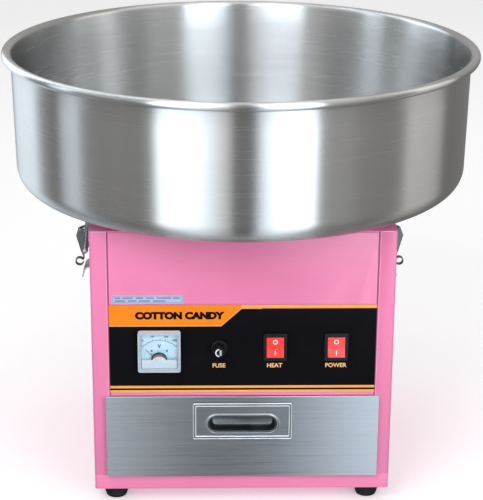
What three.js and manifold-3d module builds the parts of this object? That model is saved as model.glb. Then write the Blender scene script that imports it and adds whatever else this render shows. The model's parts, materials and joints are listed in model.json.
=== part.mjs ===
// Cotton candy machine: a floss bowl on a sheet-metal cabinet with a drawer, controls and a belt-driven head.
// Millimetres, +Z up, front towards -Y, origin at the bottom centre, level with the undersides of the feet.
import * as THREE from "three";
import { mergeVertices } from "three/addons/utils/BufferGeometryUtils.js";
import Module from "manifold-3d";

const wasm = await Module();
wasm.setup();

// Driving dimensions
const GAP = 0.3; // left between separate pieces
const SHEET = 1.5; // cabinet steel
const BEND = 3; // outside radius of the cabinet's bends
const HALF_WIDTH = 160;
const HALF_DEPTH = 160;
const FOOT_HEIGHT = 16.5;
const FOOT_X = 137.8;
const FOOT_Y = 139;
const PAN_TOP = 33.6;
const CABINET_TOP = 313;
const SEAM = 141; // from the middle to the upright seams at front and back
const FRONT_BOTTOM = 127.3; // lower edge of the front panel, over the drawer
const SHELF_BOTTOM = 131.8;

const BOWL_BOTTOM = 324.4;
const BOWL_RIM = 473.7;
const BOWL_RADIUS = 260; // over the rolled bead
const BEAD = 4.6;
const BOWL_WALL_TOP = 250.2;
const BOWL_WALL_BOTTOM = 247.9;
const BOWL_CORNER = 22.9;
const BOWL_SHEET = 1.2;
const BOWL_HOLE = 63;
const BOWL_COLLAR_TOP = 338;

const DECAL = { left: -141, right: 141, bottom: 131.4, top: 231.5, thickness: 0.4 };
const METER = { x: -88.3, z: 180.5, size: 45 };
const FUSE = { x: -24.8, z: 183 };
const SWITCHES = { heat: { x: 34.3, z: 184 }, power: { x: 99, z: 184 } };
const SWITCH_BEZEL = { width: 25, height: 31 };
const ROCKER_TILT = THREE.MathUtils.degToRad(9);

const DRAWER = { halfWidth: 146, bottom: PAN_TOP + GAP, top: 127, face: -165 };
const TRAY = { halfWidth: 138.5, front: -160, back: 112, bottom: 36.1, top: 116 };
const HANDLE = { halfWidth: 53.6, bottom: 78.5, top: 121.2, face: -166.8 };
const RECESS = { halfWidth: 37, bottom: 86.7, top: 105.8, back: -151 };

const SPINDLE_RADIUS = 6;
const MOTOR_Y = 95;
const BELT_MIDDLE = 181;
const DRIVEN_RADIUS = 30;
const DRIVING_RADIUS = 15;
const BELT_THICKNESS = 4;
const SLIP_RING_RADIUS = 16;

// Latch points, as distance out from the cabinet's side and height
const LATCH_PIVOT = [19.5, 258.5];
const BAIL_PIVOT = [15.5, 240];
const BAIL_BAR = [8.5, 304.1];
const FINGER_CURL = [22.5, 223.3];

const FACE = -HALF_DEPTH; // outer face of the front panel
const DECAL_FACE = FACE - GAP - DECAL.thickness;
const FITTING_BACK = DECAL_FACE - GAP; // where bezels and flanges seat

// ---- Geometry helpers: each takes and gives closed three.js geometries ----

function trianglesOf(corners) {
  const kept = [];
  for (let i = 0; i < corners.length; i += 3) {
    const [a, b, c] = corners.slice(i, i + 3);
    if (a !== b && b !== c && c !== a) kept.push(a, b, c);
  }
  return kept;
}

function solidOf(geometry) {
  const flat = geometry.index ? geometry.toNonIndexed() : geometry;
  const bare = new THREE.BufferGeometry().setAttribute("position", flat.getAttribute("position"));
  const merged = mergeVertices(bare, 1e-4);
  const make = (corners) =>
    new wasm.Manifold(
      new wasm.Mesh({
        numProp: 3,
        vertProperties: merged.attributes.position.array,
        triVerts: new Uint32Array(corners),
      }),
    );
  const triangles = trianglesOf(merged.index.array);
  const made = make(triangles);
  return made.volume() > 0 ? made : make(triangles.reverse());
}

function geometryOf(solid) {
  const mesh = solid.getMesh();
  return new THREE.BufferGeometry()
    .setAttribute("position", new THREE.BufferAttribute(new Float32Array(mesh.vertProperties), 3))
    .setIndex(new THREE.BufferAttribute(new Uint32Array(mesh.triVerts), 1));
}

function join(...geometries) {
  return geometryOf(geometries.map(solidOf).reduce((sum, next) => sum.add(next)));
}

function cut(geometry, ...tools) {
  return geometryOf(tools.map(solidOf).reduce((rest, tool) => rest.subtract(tool), solidOf(geometry)));
}

function block([x0, x1], [y0, y1], [z0, z1]) {
  const centre = [(x0 + x1) / 2, (y0 + y1) / 2, (z0 + z1) / 2];
  return new THREE.BoxGeometry(x1 - x0, y1 - y0, z1 - z0).translate(...centre);
}

// Revolves a closed or axis-to-axis profile of [radius, height] points about the Z axis.
function turned(profile, segments = 24) {
  return latheOf(profile, segments).rotateX(Math.PI / 2);
}

// The same about the Y axis, with [radius, y] points.
function turnedAlongY(profile, segments = 20) {
  return latheOf(profile, segments);
}

function latheOf(profile, segments) {
  return new THREE.LatheGeometry(profile.map(([r, h]) => new THREE.Vector2(r, h)), segments);
}

const rod = (radius, from, to) => [[0, from], [radius, from], [radius, to], [0, to]];

const sleeve = (inner, outer, from, to) => [[inner, from], [outer, from], [outer, to], [inner, to], [inner, from]];

function outline(points) {
  return new THREE.Shape(points.map(([x, y]) => new THREE.Vector2(x, y)));
}

function roundedRectangle(halfWidth, halfHeight, radius, cx = 0, cy = 0) {
  const shape = new THREE.Shape();
  const [w, h] = [halfWidth - radius, halfHeight - radius];
  shape.absarc(cx + w, cy + h, radius, 0, Math.PI / 2);
  shape.absarc(cx - w, cy + h, radius, Math.PI / 2, Math.PI);
  shape.absarc(cx - w, cy - h, radius, Math.PI, 1.5 * Math.PI);
  shape.absarc(cx + w, cy - h, radius, 1.5 * Math.PI, 2 * Math.PI);
  shape.closePath();
  return shape;
}

function extruded(shape, depth, curveSegments) {
  return new THREE.ExtrudeGeometry(shape, { depth, bevelEnabled: false, curveSegments });
}

// An outline in X and Y, raised from z0 to z1.
function plate(shape, z0, z1, curveSegments = 4) {
  return extruded(shape, z1 - z0, curveSegments).translate(0, 0, z0);
}

// An outline in X and Z, running from y0 to y1.
function upright(shape, y0, y1, curveSegments = 4) {
  return extruded(shape, y1 - y0, curveSegments).rotateX(Math.PI / 2).translate(0, y1, 0);
}

// An outline in Y and Z, running from x0 to x1.
function crosswise(shape, x0, x1, curveSegments = 6) {
  const toYZ = new THREE.Matrix4().makeBasis(
    new THREE.Vector3(0, 1, 0),
    new THREE.Vector3(0, 0, 1),
    new THREE.Vector3(1, 0, 0),
  );
  return extruded(shape, x1 - x0, curveSegments).applyMatrix4(toYZ).translate(x0, 0, 0);
}

function barBetween(a, b, radius, segments = 8) {
  const [start, end] = [new THREE.Vector3(...a), new THREE.Vector3(...b)];
  const length = start.distanceTo(end);
  const turn = new THREE.Quaternion().setFromUnitVectors(
    new THREE.Vector3(0, 1, 0),
    end.clone().sub(start).normalize(),
  );
  return new THREE.CylinderGeometry(radius, radius, length, segments)
    .applyQuaternion(turn)
    .translate(...start.add(end).multiplyScalar(0.5).toArray());
}

const machine = new THREE.Group();

function addPart(name, geometry, color, roughness, metalness) {
  const material = new THREE.MeshStandardMaterial({ color, roughness, metalness });
  const mesh = new THREE.Mesh(geometryOf(solidOf(geometry)), material);
  mesh.name = name;
  machine.add(mesh);
}

const PINK = 0xf490bc;
const STEEL = 0xa9adb3;
const BLACK = 0x16161a;

// ---- Cabinet shell ----

function cabinetLoop(z0, z1) {
  const outer = roundedRectangle(HALF_WIDTH, HALF_DEPTH, BEND);
  const inner = roundedRectangle(HALF_WIDTH - SHEET, HALF_DEPTH - SHEET, BEND - SHEET);
  return cut(plate(outer, z0, z1), plate(inner, z0 - 1, z1 + 1));
}

function basePan() {
  const floor = plate(roundedRectangle(HALF_WIDTH, HALF_DEPTH, BEND), FOOT_HEIGHT, FOOT_HEIGHT + SHEET);
  return join(cabinetLoop(FOOT_HEIGHT, PAN_TOP), floor);
}

function sidePanel() {
  const inward = block([-HALF_WIDTH - 1, SEAM + GAP], [-HALF_DEPTH - 1, HALF_DEPTH + 1], [0, CABINET_TOP]);
  return cut(cabinetLoop(PAN_TOP + GAP, CABINET_TOP - SHEET - GAP), inward);
}

function frontPanel() {
  const sheet = block([-SEAM, SEAM], [FACE, FACE + SHEET], [FRONT_BOTTOM, CABINET_TOP - SHEET - GAP]);
  const hem = block([-SEAM, SEAM], [FACE, FACE + 10], [FRONT_BOTTOM, FRONT_BOTTOM + SHEET]);
  return cut(join(sheet, hem), ...controlHoles(0));
}

function controlHoles(margin) {
  const [y0, y1] = [DECAL_FACE - 1, FACE + SHEET + 1];
  const meterHole = turnedAlongY(rod(19.3 + margin, y0, y1)).translate(METER.x, 0, METER.z);
  const fuseHole = turnedAlongY(rod(6.6 + margin, y0, y1)).translate(FUSE.x, 0, FUSE.z);
  const switchHoles = Object.values(SWITCHES).map(({ x, z }) =>
    block([x - 11.1 - margin, x + 11.1 + margin], [y0, y1], [z - 14.1 - margin, z + 14.1 + margin]),
  );
  return [meterHole, fuseHole, ...switchHoles];
}

function controlDecal() {
  const sheet = block([DECAL.left, DECAL.right], [DECAL_FACE, FACE - GAP], [DECAL.bottom, DECAL.top]);
  return cut(sheet, ...controlHoles(GAP));
}

const GLAND = { x: 105, z: 170 };

function backPanel() {
  const sheet = block(
    [-SEAM, SEAM],
    [HALF_DEPTH - SHEET, HALF_DEPTH],
    [PAN_TOP + GAP, CABINET_TOP - SHEET - GAP],
  );
  const through = [HALF_DEPTH - SHEET - 1, HALF_DEPTH + 1];
  const glandHole = turnedAlongY(rod(8.4, ...through)).translate(GLAND.x, 0, GLAND.z);
  const louvres = [];
  for (const x of [-50, 50]) {
    for (let row = 0; row < 6; row++) {
      const z = 205 + 14 * row;
      louvres.push(block([x - 32, x + 32], through, [z, z + 5]));
    }
  }
  return cut(sheet, glandHole, ...louvres);
}

function topPanel() {
  const sheet = plate(roundedRectangle(HALF_WIDTH, HALF_DEPTH, BEND), CABINET_TOP - SHEET, CABINET_TOP);
  return cut(sheet, turned(rod(22.6, CABINET_TOP - 5, CABINET_TOP + 5)));
}

addPart("base_pan", basePan(), PINK, 0.35, 0.1);
addPart("side_panel_right", sidePanel(), PINK, 0.35, 0.1);
addPart("side_panel_left", sidePanel().scale(-1, 1, 1), PINK, 0.35, 0.1);
addPart("front_panel", frontPanel(), PINK, 0.35, 0.1);
addPart("back_panel", backPanel(), PINK, 0.35, 0.1);
addPart("top_panel", topPanel(), PINK, 0.35, 0.1);
addPart("control_decal", controlDecal(), BLACK, 0.3, 0);

const shelf = block([-157, 157], [-147, 157], [SHELF_BOTTOM, SHELF_BOTTOM + SHEET]);
addPart("drawer_shelf", shelf, STEEL, 0.5, 0.8);

function drawerGuide() {
  const [y0, y1] = [-154, 150];
  const ledge = block([126, 157], [y0, y1], [PAN_TOP + GAP, TRAY.bottom - GAP]);
  const fence = block([139.5, 141], [y0, y1], [PAN_TOP + GAP, 75]);
  return join(ledge, fence);
}

addPart("drawer_guide_right", drawerGuide(), STEEL, 0.5, 0.8);
addPart("drawer_guide_left", drawerGuide().scale(-1, 1, 1), STEEL, 0.5, 0.8);

// ---- Feet ----

const FOOT_PROFILE = [
  [0, 0],
  [10.5, 0],
  [11.6, 1.2],
  [13.4, 9.5],
  [14.2, 13],
  [14.2, FOOT_HEIGHT - GAP],
  [0, FOOT_HEIGHT - GAP],
];

for (const [depth, y] of [["front", -FOOT_Y], ["back", FOOT_Y]]) {
  for (const [side, x] of [["left", -FOOT_X], ["right", FOOT_X]]) {
    addPart("foot_" + depth + "_" + side, turned(FOOT_PROFILE, 24).translate(x, y, 0), BLACK, 0.8, 0);
  }
}

// ---- Drawer ----

function obround(margin) {
  const halfHeight = (RECESS.top - RECESS.bottom) / 2 + margin;
  const middle = (RECESS.top + RECESS.bottom) / 2;
  return roundedRectangle(RECESS.halfWidth + margin, halfHeight, halfHeight - 0.01, 0, middle);
}

const RECESS_WALL = 1.5;

function drawerFront() {
  const { halfWidth, bottom, top, face } = DRAWER;
  const folded = block([-halfWidth, halfWidth], [face, FACE - GAP], [bottom, top]);
  const hollow = block([-halfWidth + 1.5, halfWidth - 1.5], [face + 1.5, FACE], [bottom + 1.5, top - 1.5]);
  return cut(folded, hollow, upright(obround(RECESS_WALL + GAP), face - 1, FACE + 1, 8));
}

function drawerTray() {
  const { halfWidth, front, back, bottom, top } = TRAY;
  const wall = 1.2;
  const whole = block([-halfWidth, halfWidth], [front, back], [bottom, top]);
  const hollow = block([-halfWidth + wall, halfWidth - wall], [front + wall, back - wall], [bottom + wall, top + 1]);
  return cut(whole, hollow, upright(obround(RECESS_WALL + GAP), front - 1, front + wall + 1, 8));
}

function drawerHandle() {
  const { halfWidth, bottom, top, face } = HANDLE;
  const flange = upright(
    roundedRectangle(halfWidth, (top - bottom) / 2, 2, 0, (top + bottom) / 2),
    face,
    DRAWER.face - GAP,
  );
  const cup = upright(obround(RECESS_WALL), face, RECESS.back + RECESS_WALL, 8);
  return cut(join(flange, cup), upright(obround(0), face - 1, RECESS.back, 8));
}

addPart("drawer_front", drawerFront(), STEEL, 0.3, 1);
addPart("drawer_tray", drawerTray(), STEEL, 0.4, 1);
addPart("drawer_handle", drawerHandle(), 0xd0d4d8, 0.15, 1);

// ---- Voltmeter ----

const METER_FRONT = FITTING_BACK - 8;
const WINDOW_SEAT = METER_FRONT + 1.8;
const METER_FLOOR = FITTING_BACK - 1.2;

function meterSquare(half, y0, y1) {
  return block([METER.x - half, METER.x + half], [y0, y1], [METER.z - half, METER.z + half]);
}

function voltmeterCase() {
  const bezel = upright(
    roundedRectangle(METER.size / 2, METER.size / 2, 2, METER.x, METER.z),
    METER_FRONT,
    FITTING_BACK,
  );
  const body = turnedAlongY(rod(19, FITTING_BACK - 0.5, FITTING_BACK + 32)).translate(METER.x, 0, METER.z);
  return cut(
    join(bezel, body),
    meterSquare(20.5, METER_FRONT - 1, WINDOW_SEAT),
    meterSquare(19.3, METER_FRONT - 1, METER_FLOOR),
  );
}

// The pointer stands at zero, 45 degrees to the left of upright, on a hub low in the dial.
function meterNeedle() {
  const hubZ = METER.z - 12.5;
  const hub = turnedAlongY(rod(2.2, METER_FLOOR - 2.9, METER_FLOOR - 1.3), 16);
  const pointer = block([-0.4, 0.4], [METER_FLOOR - 2.5, METER_FLOOR - 1.9], [-4, 20]).rotateY(-Math.PI / 4);
  return join(hub, pointer).translate(METER.x, 0, hubZ);
}

addPart("voltmeter_case", voltmeterCase(), 0xc9ced2, 0.3, 0);
addPart("voltmeter_dial", meterSquare(19, METER_FLOOR - 0.9, METER_FLOOR - GAP), 0xc8e6f5, 0.5, 0);
addPart("voltmeter_window", meterSquare(20.2, METER_FRONT + 0.2, WINDOW_SEAT - GAP), 0xffffff, 0.05, 0);
addPart("meter_needle", meterNeedle(), BLACK, 0.5, 0);

// ---- Fuse holder ----

const FUSE_FLANGE = FITTING_BACK - 2;

function atFuse(geometry) {
  return geometry.translate(FUSE.x, 0, FUSE.z);
}

function fuseHolder() {
  const flange = turnedAlongY(rod(8.75, FUSE_FLANGE, FITTING_BACK));
  const barrel = turnedAlongY(rod(6.2, FITTING_BACK - 1, FITTING_BACK + 36));
  const bore = turnedAlongY(rod(4.3, FUSE_FLANGE - 1, FITTING_BACK + 34));
  return atFuse(cut(join(flange, barrel), bore));
}

function fuseCap() {
  const front = FUSE_FLANGE - GAP - 12;
  const knob = turnedAlongY([
    [0, front],
    [4.4, front],
    [5.2, front + 1],
    [6, front + 2.4],
    [6.5, FUSE_FLANGE - GAP],
    [0, FUSE_FLANGE - GAP],
  ]);
  const stem = turnedAlongY(rod(3.9, FUSE_FLANGE - GAP - 1, FUSE_FLANGE + 12));
  const socket = turnedAlongY(rod(2.9, FUSE_FLANGE, FUSE_FLANGE + 13), 16);
  const slot = block([-5, 5], [front - 1, front + 1.2], [-0.7, 0.7]);
  return atFuse(cut(join(knob, stem), socket, slot));
}

addPart("fuse_holder", fuseHolder(), BLACK, 0.4, 0);
addPart("fuse_cap", fuseCap(), BLACK, 0.4, 0);
addPart("fuse_link", atFuse(turnedAlongY(rod(2.5, FUSE_FLANGE + GAP, FUSE_FLANGE + 20.3), 16)), 0xd8d8d8, 0.2, 0.5);

// ---- Rocker switches: a frame in the panel and a rocker on a crosswise pivot ----

const BEZEL_FRONT = FITTING_BACK - 2.5;
const ROCKER_PIVOT_Y = FITTING_BACK - 1.5;
const ROCKER = { halfWidth: 9.25, radius: 11.3, edge: 3, middle: 1.5, back: -8 };

function switchFrame({ x, z }) {
  const bezel = upright(
    roundedRectangle(SWITCH_BEZEL.width / 2, SWITCH_BEZEL.height / 2, 1.5, x, z),
    BEZEL_FRONT,
    FITTING_BACK,
  );
  const body = block([x - 10.8, x + 10.8], [FITTING_BACK - 0.5, FITTING_BACK + 25], [z - 13.8, z + 13.8]);
  const well = block([x - 9.6, x + 9.6], [BEZEL_FRONT - 1, FITTING_BACK + 21], [z - 11.8, z + 11.8]);
  return cut(join(bezel, body), well);
}

// A V-faced rocker with round ends about its pivot, tipped so that its upper half is pressed in.
function rocker({ x, z }) {
  const { halfWidth, radius, edge, middle, back } = ROCKER;
  const shape = new THREE.Shape();
  const frontAngle = Math.asin(edge / radius);
  const backAngle = Math.asin(back / radius);
  shape.moveTo(-middle, 0);
  shape.lineTo(-edge, radius * Math.cos(frontAngle));
  shape.absarc(0, 0, radius, Math.PI / 2 + frontAngle, Math.PI / 2 + backAngle, true);
  shape.absarc(0, 0, radius, -Math.PI / 2 - backAngle, -Math.PI / 2 - frontAngle, true);
  shape.closePath();
  return crosswise(shape, -halfWidth, halfWidth).rotateX(-ROCKER_TILT).translate(x, ROCKER_PIVOT_Y, z);
}

for (const [use, place] of Object.entries(SWITCHES)) {
  addPart(use + "_switch_frame", switchFrame(place), 0x2a2a2e, 0.35, 0);
  addPart(use + "_rocker", rocker(place), 0xeb3c32, 0.25, 0);
}

// ---- Bowl, its seat and its catches ----

function bowlProfile() {
  const t = BOWL_SHEET;
  const cornerX = BOWL_WALL_BOTTOM - BOWL_CORNER;
  const cornerZ = BOWL_BOTTOM + BOWL_CORNER;
  const arc = (radius, from, to, steps) =>
    Array.from({ length: steps + 1 }, (_, i) => {
      const angle = from + ((to - from) * i) / steps;
      return [cornerX + radius * Math.cos(angle), cornerZ + radius * Math.sin(angle)];
    });
  const beadX = BOWL_RADIUS - BEAD;
  const beadZ = BOWL_RIM - BEAD;
  const bead = Array.from({ length: 7 }, (_, i) => {
    const angle = THREE.MathUtils.degToRad(-150 + 50 * i);
    return [beadX + BEAD * Math.cos(angle), beadZ + BEAD * Math.sin(angle)];
  });
  return [
    [BOWL_HOLE, BOWL_BOTTOM],
    ...arc(BOWL_CORNER, -Math.PI / 2, 0, 4),
    [BOWL_WALL_TOP, BOWL_RIM - 2 * BEAD],
    ...bead,
    [BOWL_WALL_TOP - t, BOWL_RIM - BEAD],
    ...arc(BOWL_CORNER - t, 0, -Math.PI / 2, 4),
    [BOWL_HOLE + t, BOWL_BOTTOM + t],
    [BOWL_HOLE + t, BOWL_COLLAR_TOP],
    [BOWL_HOLE, BOWL_COLLAR_TOP],
    [BOWL_HOLE, BOWL_BOTTOM],
  ];
}

// A J-shaped catch under the bowl, open upwards, with the bail's bar lying in its trough.
function bowlCatch() {
  const foot = block([3, 22], [-7, 7], [BOWL_BOTTOM - GAP - 2, BOWL_BOTTOM - GAP]);
  const leg = block([3, 5], [-7, 7], [299.8, BOWL_BOTTOM - GAP]);
  const trough = block([3, 12.5], [-7, 7], [299.8, 301.8]);
  const lip = block([11, 12.5], [-7, 7], [299.8, 307]);
  return join(foot, leg, trough, lip).translate(HALF_WIDTH, 0, 0);
}

addPart("bowl", turned(bowlProfile(), 48), STEEL, 0.28, 1);
addPart("bowl_seat", turned(sleeve(86, 106, CABINET_TOP + GAP, BOWL_BOTTOM - GAP), 36), BLACK, 0.8, 0);
addPart("bowl_catch_right", bowlCatch(), STEEL, 0.3, 1);
addPart("bowl_catch_left", bowlCatch().scale(-1, 1, 1), STEEL, 0.3, 1);

// ---- Latches: base plate, over-centre lever and sprung bail, built for the right side ----
// The bail's rod springs are plain sleeves, and the lever narrows to its rolled finger end.

const EAR = [4, 5.5];
const WEB = [6.2, 7.7];
const BAIL_ROD_Y = 11;

function circle([x, z], radius) {
  return new THREE.Shape().absarc(x, z, radius, 0, 2 * Math.PI);
}

const bothSides = (shape, [y0, y1], segments) => [
  upright(shape, y0, y1, segments),
  upright(shape, -y1, -y0, segments),
];

function latchBase() {
  const strip = outline([
    [0.3, 285],
    [0.3, 225.5],
    [8, 220.8],
    [15, 218.5],
    [18.1, 208.4],
    [19.4, 208.8],
    [16.1, 219.7],
    [8.6, 222.1],
    [1.8, 226.4],
    [1.8, 285],
  ]);
  const ear = new THREE.Shape();
  ear.moveTo(1, 249);
  ear.lineTo(19.5, 253.7);
  ear.absarc(...LATCH_PIVOT, 4.8, -Math.PI / 2, Math.PI / 2);
  ear.lineTo(1, 279);
  ear.closePath();
  const hole = upright(circle(LATCH_PIVOT, 2.4), -10, 10, 6);
  return cut(join(upright(strip, -15, 15), ...bothSides(ear, EAR)), hole);
}

function latchLever() {
  const web = outline([
    [25.6, 255.8],
    [23.5, 261.5],
    [19.5, 263.7],
    [15.5, 262.5],
    [14.5, 254],
    [11.9, 243],
    [11.8, 237],
    [14.5, 234.6],
    [19.2, 234.6],
  ]);
  const face = outline([
    [25.6, 255.8],
    [24.1, 256.2],
    [17, 228.4],
    [17.8, 224.5],
    [18.6, 224.5],
    [18.6, 228],
  ]);
  const curl = cut(
    upright(circle(FINGER_CURL, 4.9), -WEB[1], WEB[1], 8),
    upright(circle(FINGER_CURL, 3.3), -WEB[1] - 1, WEB[1] + 1, 8),
  );
  const holes = upright(circle(BAIL_PIVOT, 2.4), -10, 10, 6);
  const taper = crosswise(outline([[7.8, 234.4], [9, 234.4], [9, 215], [3, 215], [3, 228.6]]), 10, 30);
  const shell = cut(
    join(upright(face, -WEB[1], WEB[1]), ...bothSides(web, WEB), curl),
    holes,
    taper,
    taper.clone().scale(1, -1, 1),
  );
  return join(shell, ...bothSides(circle(LATCH_PIVOT, 2), [EAR[0] - GAP, WEB[1]], 4));
}

function latchBail() {
  const at = ([u, z], y) => [u, y, z];
  const along = (t) => BAIL_PIVOT.map((v, i) => v + (BAIL_BAR[i] - v) * t);
  const pieces = [
    barBetween(at(BAIL_PIVOT, -13.6), at(BAIL_PIVOT, 13.6), 2),
    barBetween(at(BAIL_BAR, -12.5), at(BAIL_BAR, 12.5), 1.8),
  ];
  for (const y of [-BAIL_ROD_Y, BAIL_ROD_Y]) {
    pieces.push(barBetween(at(along(-0.06), y), at(along(1), y), 1.5));
    pieces.push(barBetween(at(along(0.04), y), at(along(0.72), y), 2.6));
  }
  return join(...pieces);
}

const LATCH_PARTS = { latch_base: latchBase(), latch_lever: latchLever(), latch_bail: latchBail() };
for (const [name, geometry] of Object.entries(LATCH_PARTS)) {
  geometry.translate(HALF_WIDTH, 0, 0);
  addPart(name + "_right", geometry, 0xc8ccd0, 0.25, 1);
  addPart(name + "_left", geometry.clone().scale(-1, 1, 1), 0xc8ccd0, 0.25, 1);
}

// ---- Spindle, its bearings, slip rings and drive ----

const HOUSING_BOTTOM = 246;
const BEARING_RADIUS = 14;
const BEARING_HEIGHT = 8;

const HOUSING_PROFILE = [
  [BEARING_RADIUS + GAP, HOUSING_BOTTOM],
  [22, HOUSING_BOTTOM],
  [22, CABINET_TOP + GAP],
  [38, CABINET_TOP + GAP],
  [38, CABINET_TOP + 4],
  [20, CABINET_TOP + 6],
  [18.5, 334],
  [BEARING_RADIUS + GAP, 334],
  [BEARING_RADIUS + GAP, HOUSING_BOTTOM],
];
addPart("bearing_housing", turned(HOUSING_PROFILE), 0x9a9ea3, 0.5, 0.8);

const boreRadius = SPINDLE_RADIUS + GAP;
for (const [name, z] of [["lower_bearing", HOUSING_BOTTOM + 3], ["upper_bearing", 322]]) {
  addPart(name, turned(sleeve(boreRadius, BEARING_RADIUS, z, z + BEARING_HEIGHT), 24), STEEL, 0.25, 1);
}

const SPINDLE = { bottom: 168, top: 365, bore: 2.5 };
addPart("spindle", turned(sleeve(SPINDLE.bore, SPINDLE_RADIUS, SPINDLE.bottom, SPINDLE.top), 24), STEEL, 0.3, 1);

function pulleyProfile(radius, bore) {
  const [z0, z1] = [BELT_MIDDLE - 9, BELT_MIDDLE + 9];
  return [
    [bore, z0],
    [radius + 3, z0],
    [radius + 3, BELT_MIDDLE - 5.5],
    [radius, BELT_MIDDLE - 4.5],
    [radius, BELT_MIDDLE + 4.5],
    [radius + 3, BELT_MIDDLE + 5.5],
    [radius + 3, z1],
    [bore, z1],
    [bore, z0],
  ];
}

addPart("driven_pulley", turned(pulleyProfile(DRIVEN_RADIUS, boreRadius)), 0xb8bcc0, 0.4, 0.9);

function slipRingHub() {
  const [z0, z1] = [198, 236];
  const [bottom, middle, top] = [z0 + 4, 215, z1 - 4];
  const [core, rim] = [12, SLIP_RING_RADIUS + 3];
  return turned([
    [boreRadius, z0],
    [rim, z0],
    [rim, bottom],
    [core, bottom],
    [core, middle],
    [rim, middle],
    [rim, middle + 4],
    [core, middle + 4],
    [core, top],
    [rim, top],
    [rim, z1],
    [boreRadius, z1],
    [boreRadius, z0],
  ]);
}

addPart("slip_ring_hub", slipRingHub(), 0x6b3a22, 0.6, 0);
const SLIP_RINGS = { lower: [202 + GAP, 215 - GAP], upper: [219 + GAP, 232 - GAP] };
const BRUSH_HALF = 3;

function brushHolder() {
  const body = block([-13, 13], [-54, -26], [199, 236]);
  const arm = block([-9, 9], [-54, -48], [235, CABINET_TOP - SHEET - GAP]);
  const half = BRUSH_HALF + GAP;
  const pockets = Object.values(SLIP_RINGS).map(([z0, z1]) => {
    const middle = (z0 + z1) / 2;
    return block([-half, half], [-50, -25], [middle - half, middle + half]);
  });
  return cut(join(body, arm), ...pockets);
}

addPart("brush_holder", brushHolder(), 0x3a2a22, 0.7, 0);
for (const [level, [z0, z1]] of Object.entries(SLIP_RINGS)) {
  addPart("slip_ring_" + level, turned(sleeve(12 + GAP, SLIP_RING_RADIUS, z0, z1)), 0xc99a4a, 0.25, 1);
  const middle = (z0 + z1) / 2;
  const brush = block(
    [-BRUSH_HALF, BRUSH_HALF],
    [-48, -SLIP_RING_RADIUS - GAP],
    [middle - BRUSH_HALF, middle + BRUSH_HALF],
  );
  addPart("carbon_brush_" + level, brush, 0x1c1c1e, 0.8, 0.1);
}

const MOTOR = { radius: 43, bottom: 205, top: 290, shaft: 4 };

function motorBody() {
  const { radius, bottom, top, shaft } = MOTOR;
  const casing = turned([
    [0, bottom - 5],
    [13, bottom - 5],
    [13, bottom],
    [radius - 4, bottom],
    [radius, bottom + 4],
    [radius, top - 4],
    [radius - 4, top],
    [0, top],
  ]);
  return cut(casing, turned(rod(shaft + 0.4, bottom - 6, bottom + 25), 24)).translate(0, MOTOR_Y, 0);
}

function motorBracket() {
  const web = block([-50, 50], [MOTOR_Y - 52, MOTOR_Y + 52], [MOTOR.top + GAP, MOTOR.top + GAP + 3]);
  const legs = [-50, 47].map((x) =>
    block([x, x + 3], [MOTOR_Y - 52, MOTOR_Y + 52], [MOTOR.top + GAP, CABINET_TOP - SHEET - GAP]),
  );
  return join(web, ...legs);
}

addPart("motor_body", motorBody(), 0x5a5e63, 0.5, 0.6);
addPart("motor_bracket", motorBracket(), STEEL, 0.5, 0.8);
const shaftSolid = turned(rod(MOTOR.shaft, SPINDLE.bottom, MOTOR.bottom + 20), 24).translate(0, MOTOR_Y, 0);
addPart("motor_shaft", shaftSolid, STEEL, 0.3, 1);
const drivingPulley = turned(pulleyProfile(DRIVING_RADIUS, MOTOR.shaft + GAP)).translate(0, MOTOR_Y, 0);
addPart("motor_pulley", drivingPulley, 0xb8bcc0, 0.4, 0.9);

// The belt's loop: two arcs joined by the pulleys' common tangents.
function beltLoop(offset) {
  const lean = Math.asin((DRIVEN_RADIUS - DRIVING_RADIUS) / MOTOR_Y);
  const shape = new THREE.Shape();
  shape.absarc(0, 0, DRIVEN_RADIUS + offset, Math.PI - lean, 2 * Math.PI + lean);
  shape.absarc(0, MOTOR_Y, DRIVING_RADIUS + offset, lean, Math.PI - lean);
  shape.closePath();
  return shape;
}

// The inner loop has extra room because both it and the pulleys are faceted.
const BELT_CLEARANCE = 0.5;
const belt = cut(
  plate(beltLoop(BELT_CLEARANCE + BELT_THICKNESS), BELT_MIDDLE - 4, BELT_MIDDLE + 4, 10),
  plate(beltLoop(BELT_CLEARANCE), BELT_MIDDLE - 5, BELT_MIDDLE + 5, 10),
);
addPart("drive_belt", belt, BLACK, 0.8, 0);

// ---- Spinner head: base, heater ring, screen band, cover with a sugar well, and nut ----

const HEAD_RADIUS = 56;
const HEAD_SEGMENTS = 32;

const HEAD_BASE_PROFILE = [
  [boreRadius, 346],
  [HEAD_RADIUS - 4, 346],
  [HEAD_RADIUS, 350],
  [HEAD_RADIUS, 354],
  [HEAD_RADIUS - 3.5, 354],
  [HEAD_RADIUS - 4.5, 350],
  [14, 350],
  [12, 356],
  [boreRadius, 356],
  [boreRadius, 346],
];
const HEAD_COVER_PROFILE = [
  [HEAD_RADIUS, 374.3],
  [HEAD_RADIUS, 377],
  [30, 384],
  [26, 384],
  [17, 367],
  [18.4, 366],
  [27.6, 381],
  [HEAD_RADIUS - 3, 374.3],
  [HEAD_RADIUS, 374.3],
];
const HEATER_PROFILE = Array.from({ length: 7 }, (_, i) => {
  const angle = (i / 6) * 2 * Math.PI;
  return [45 + 3.5 * Math.cos(angle), 362 + 3.5 * Math.sin(angle)];
});
HEATER_PROFILE[6] = HEATER_PROFILE[0];

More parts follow.
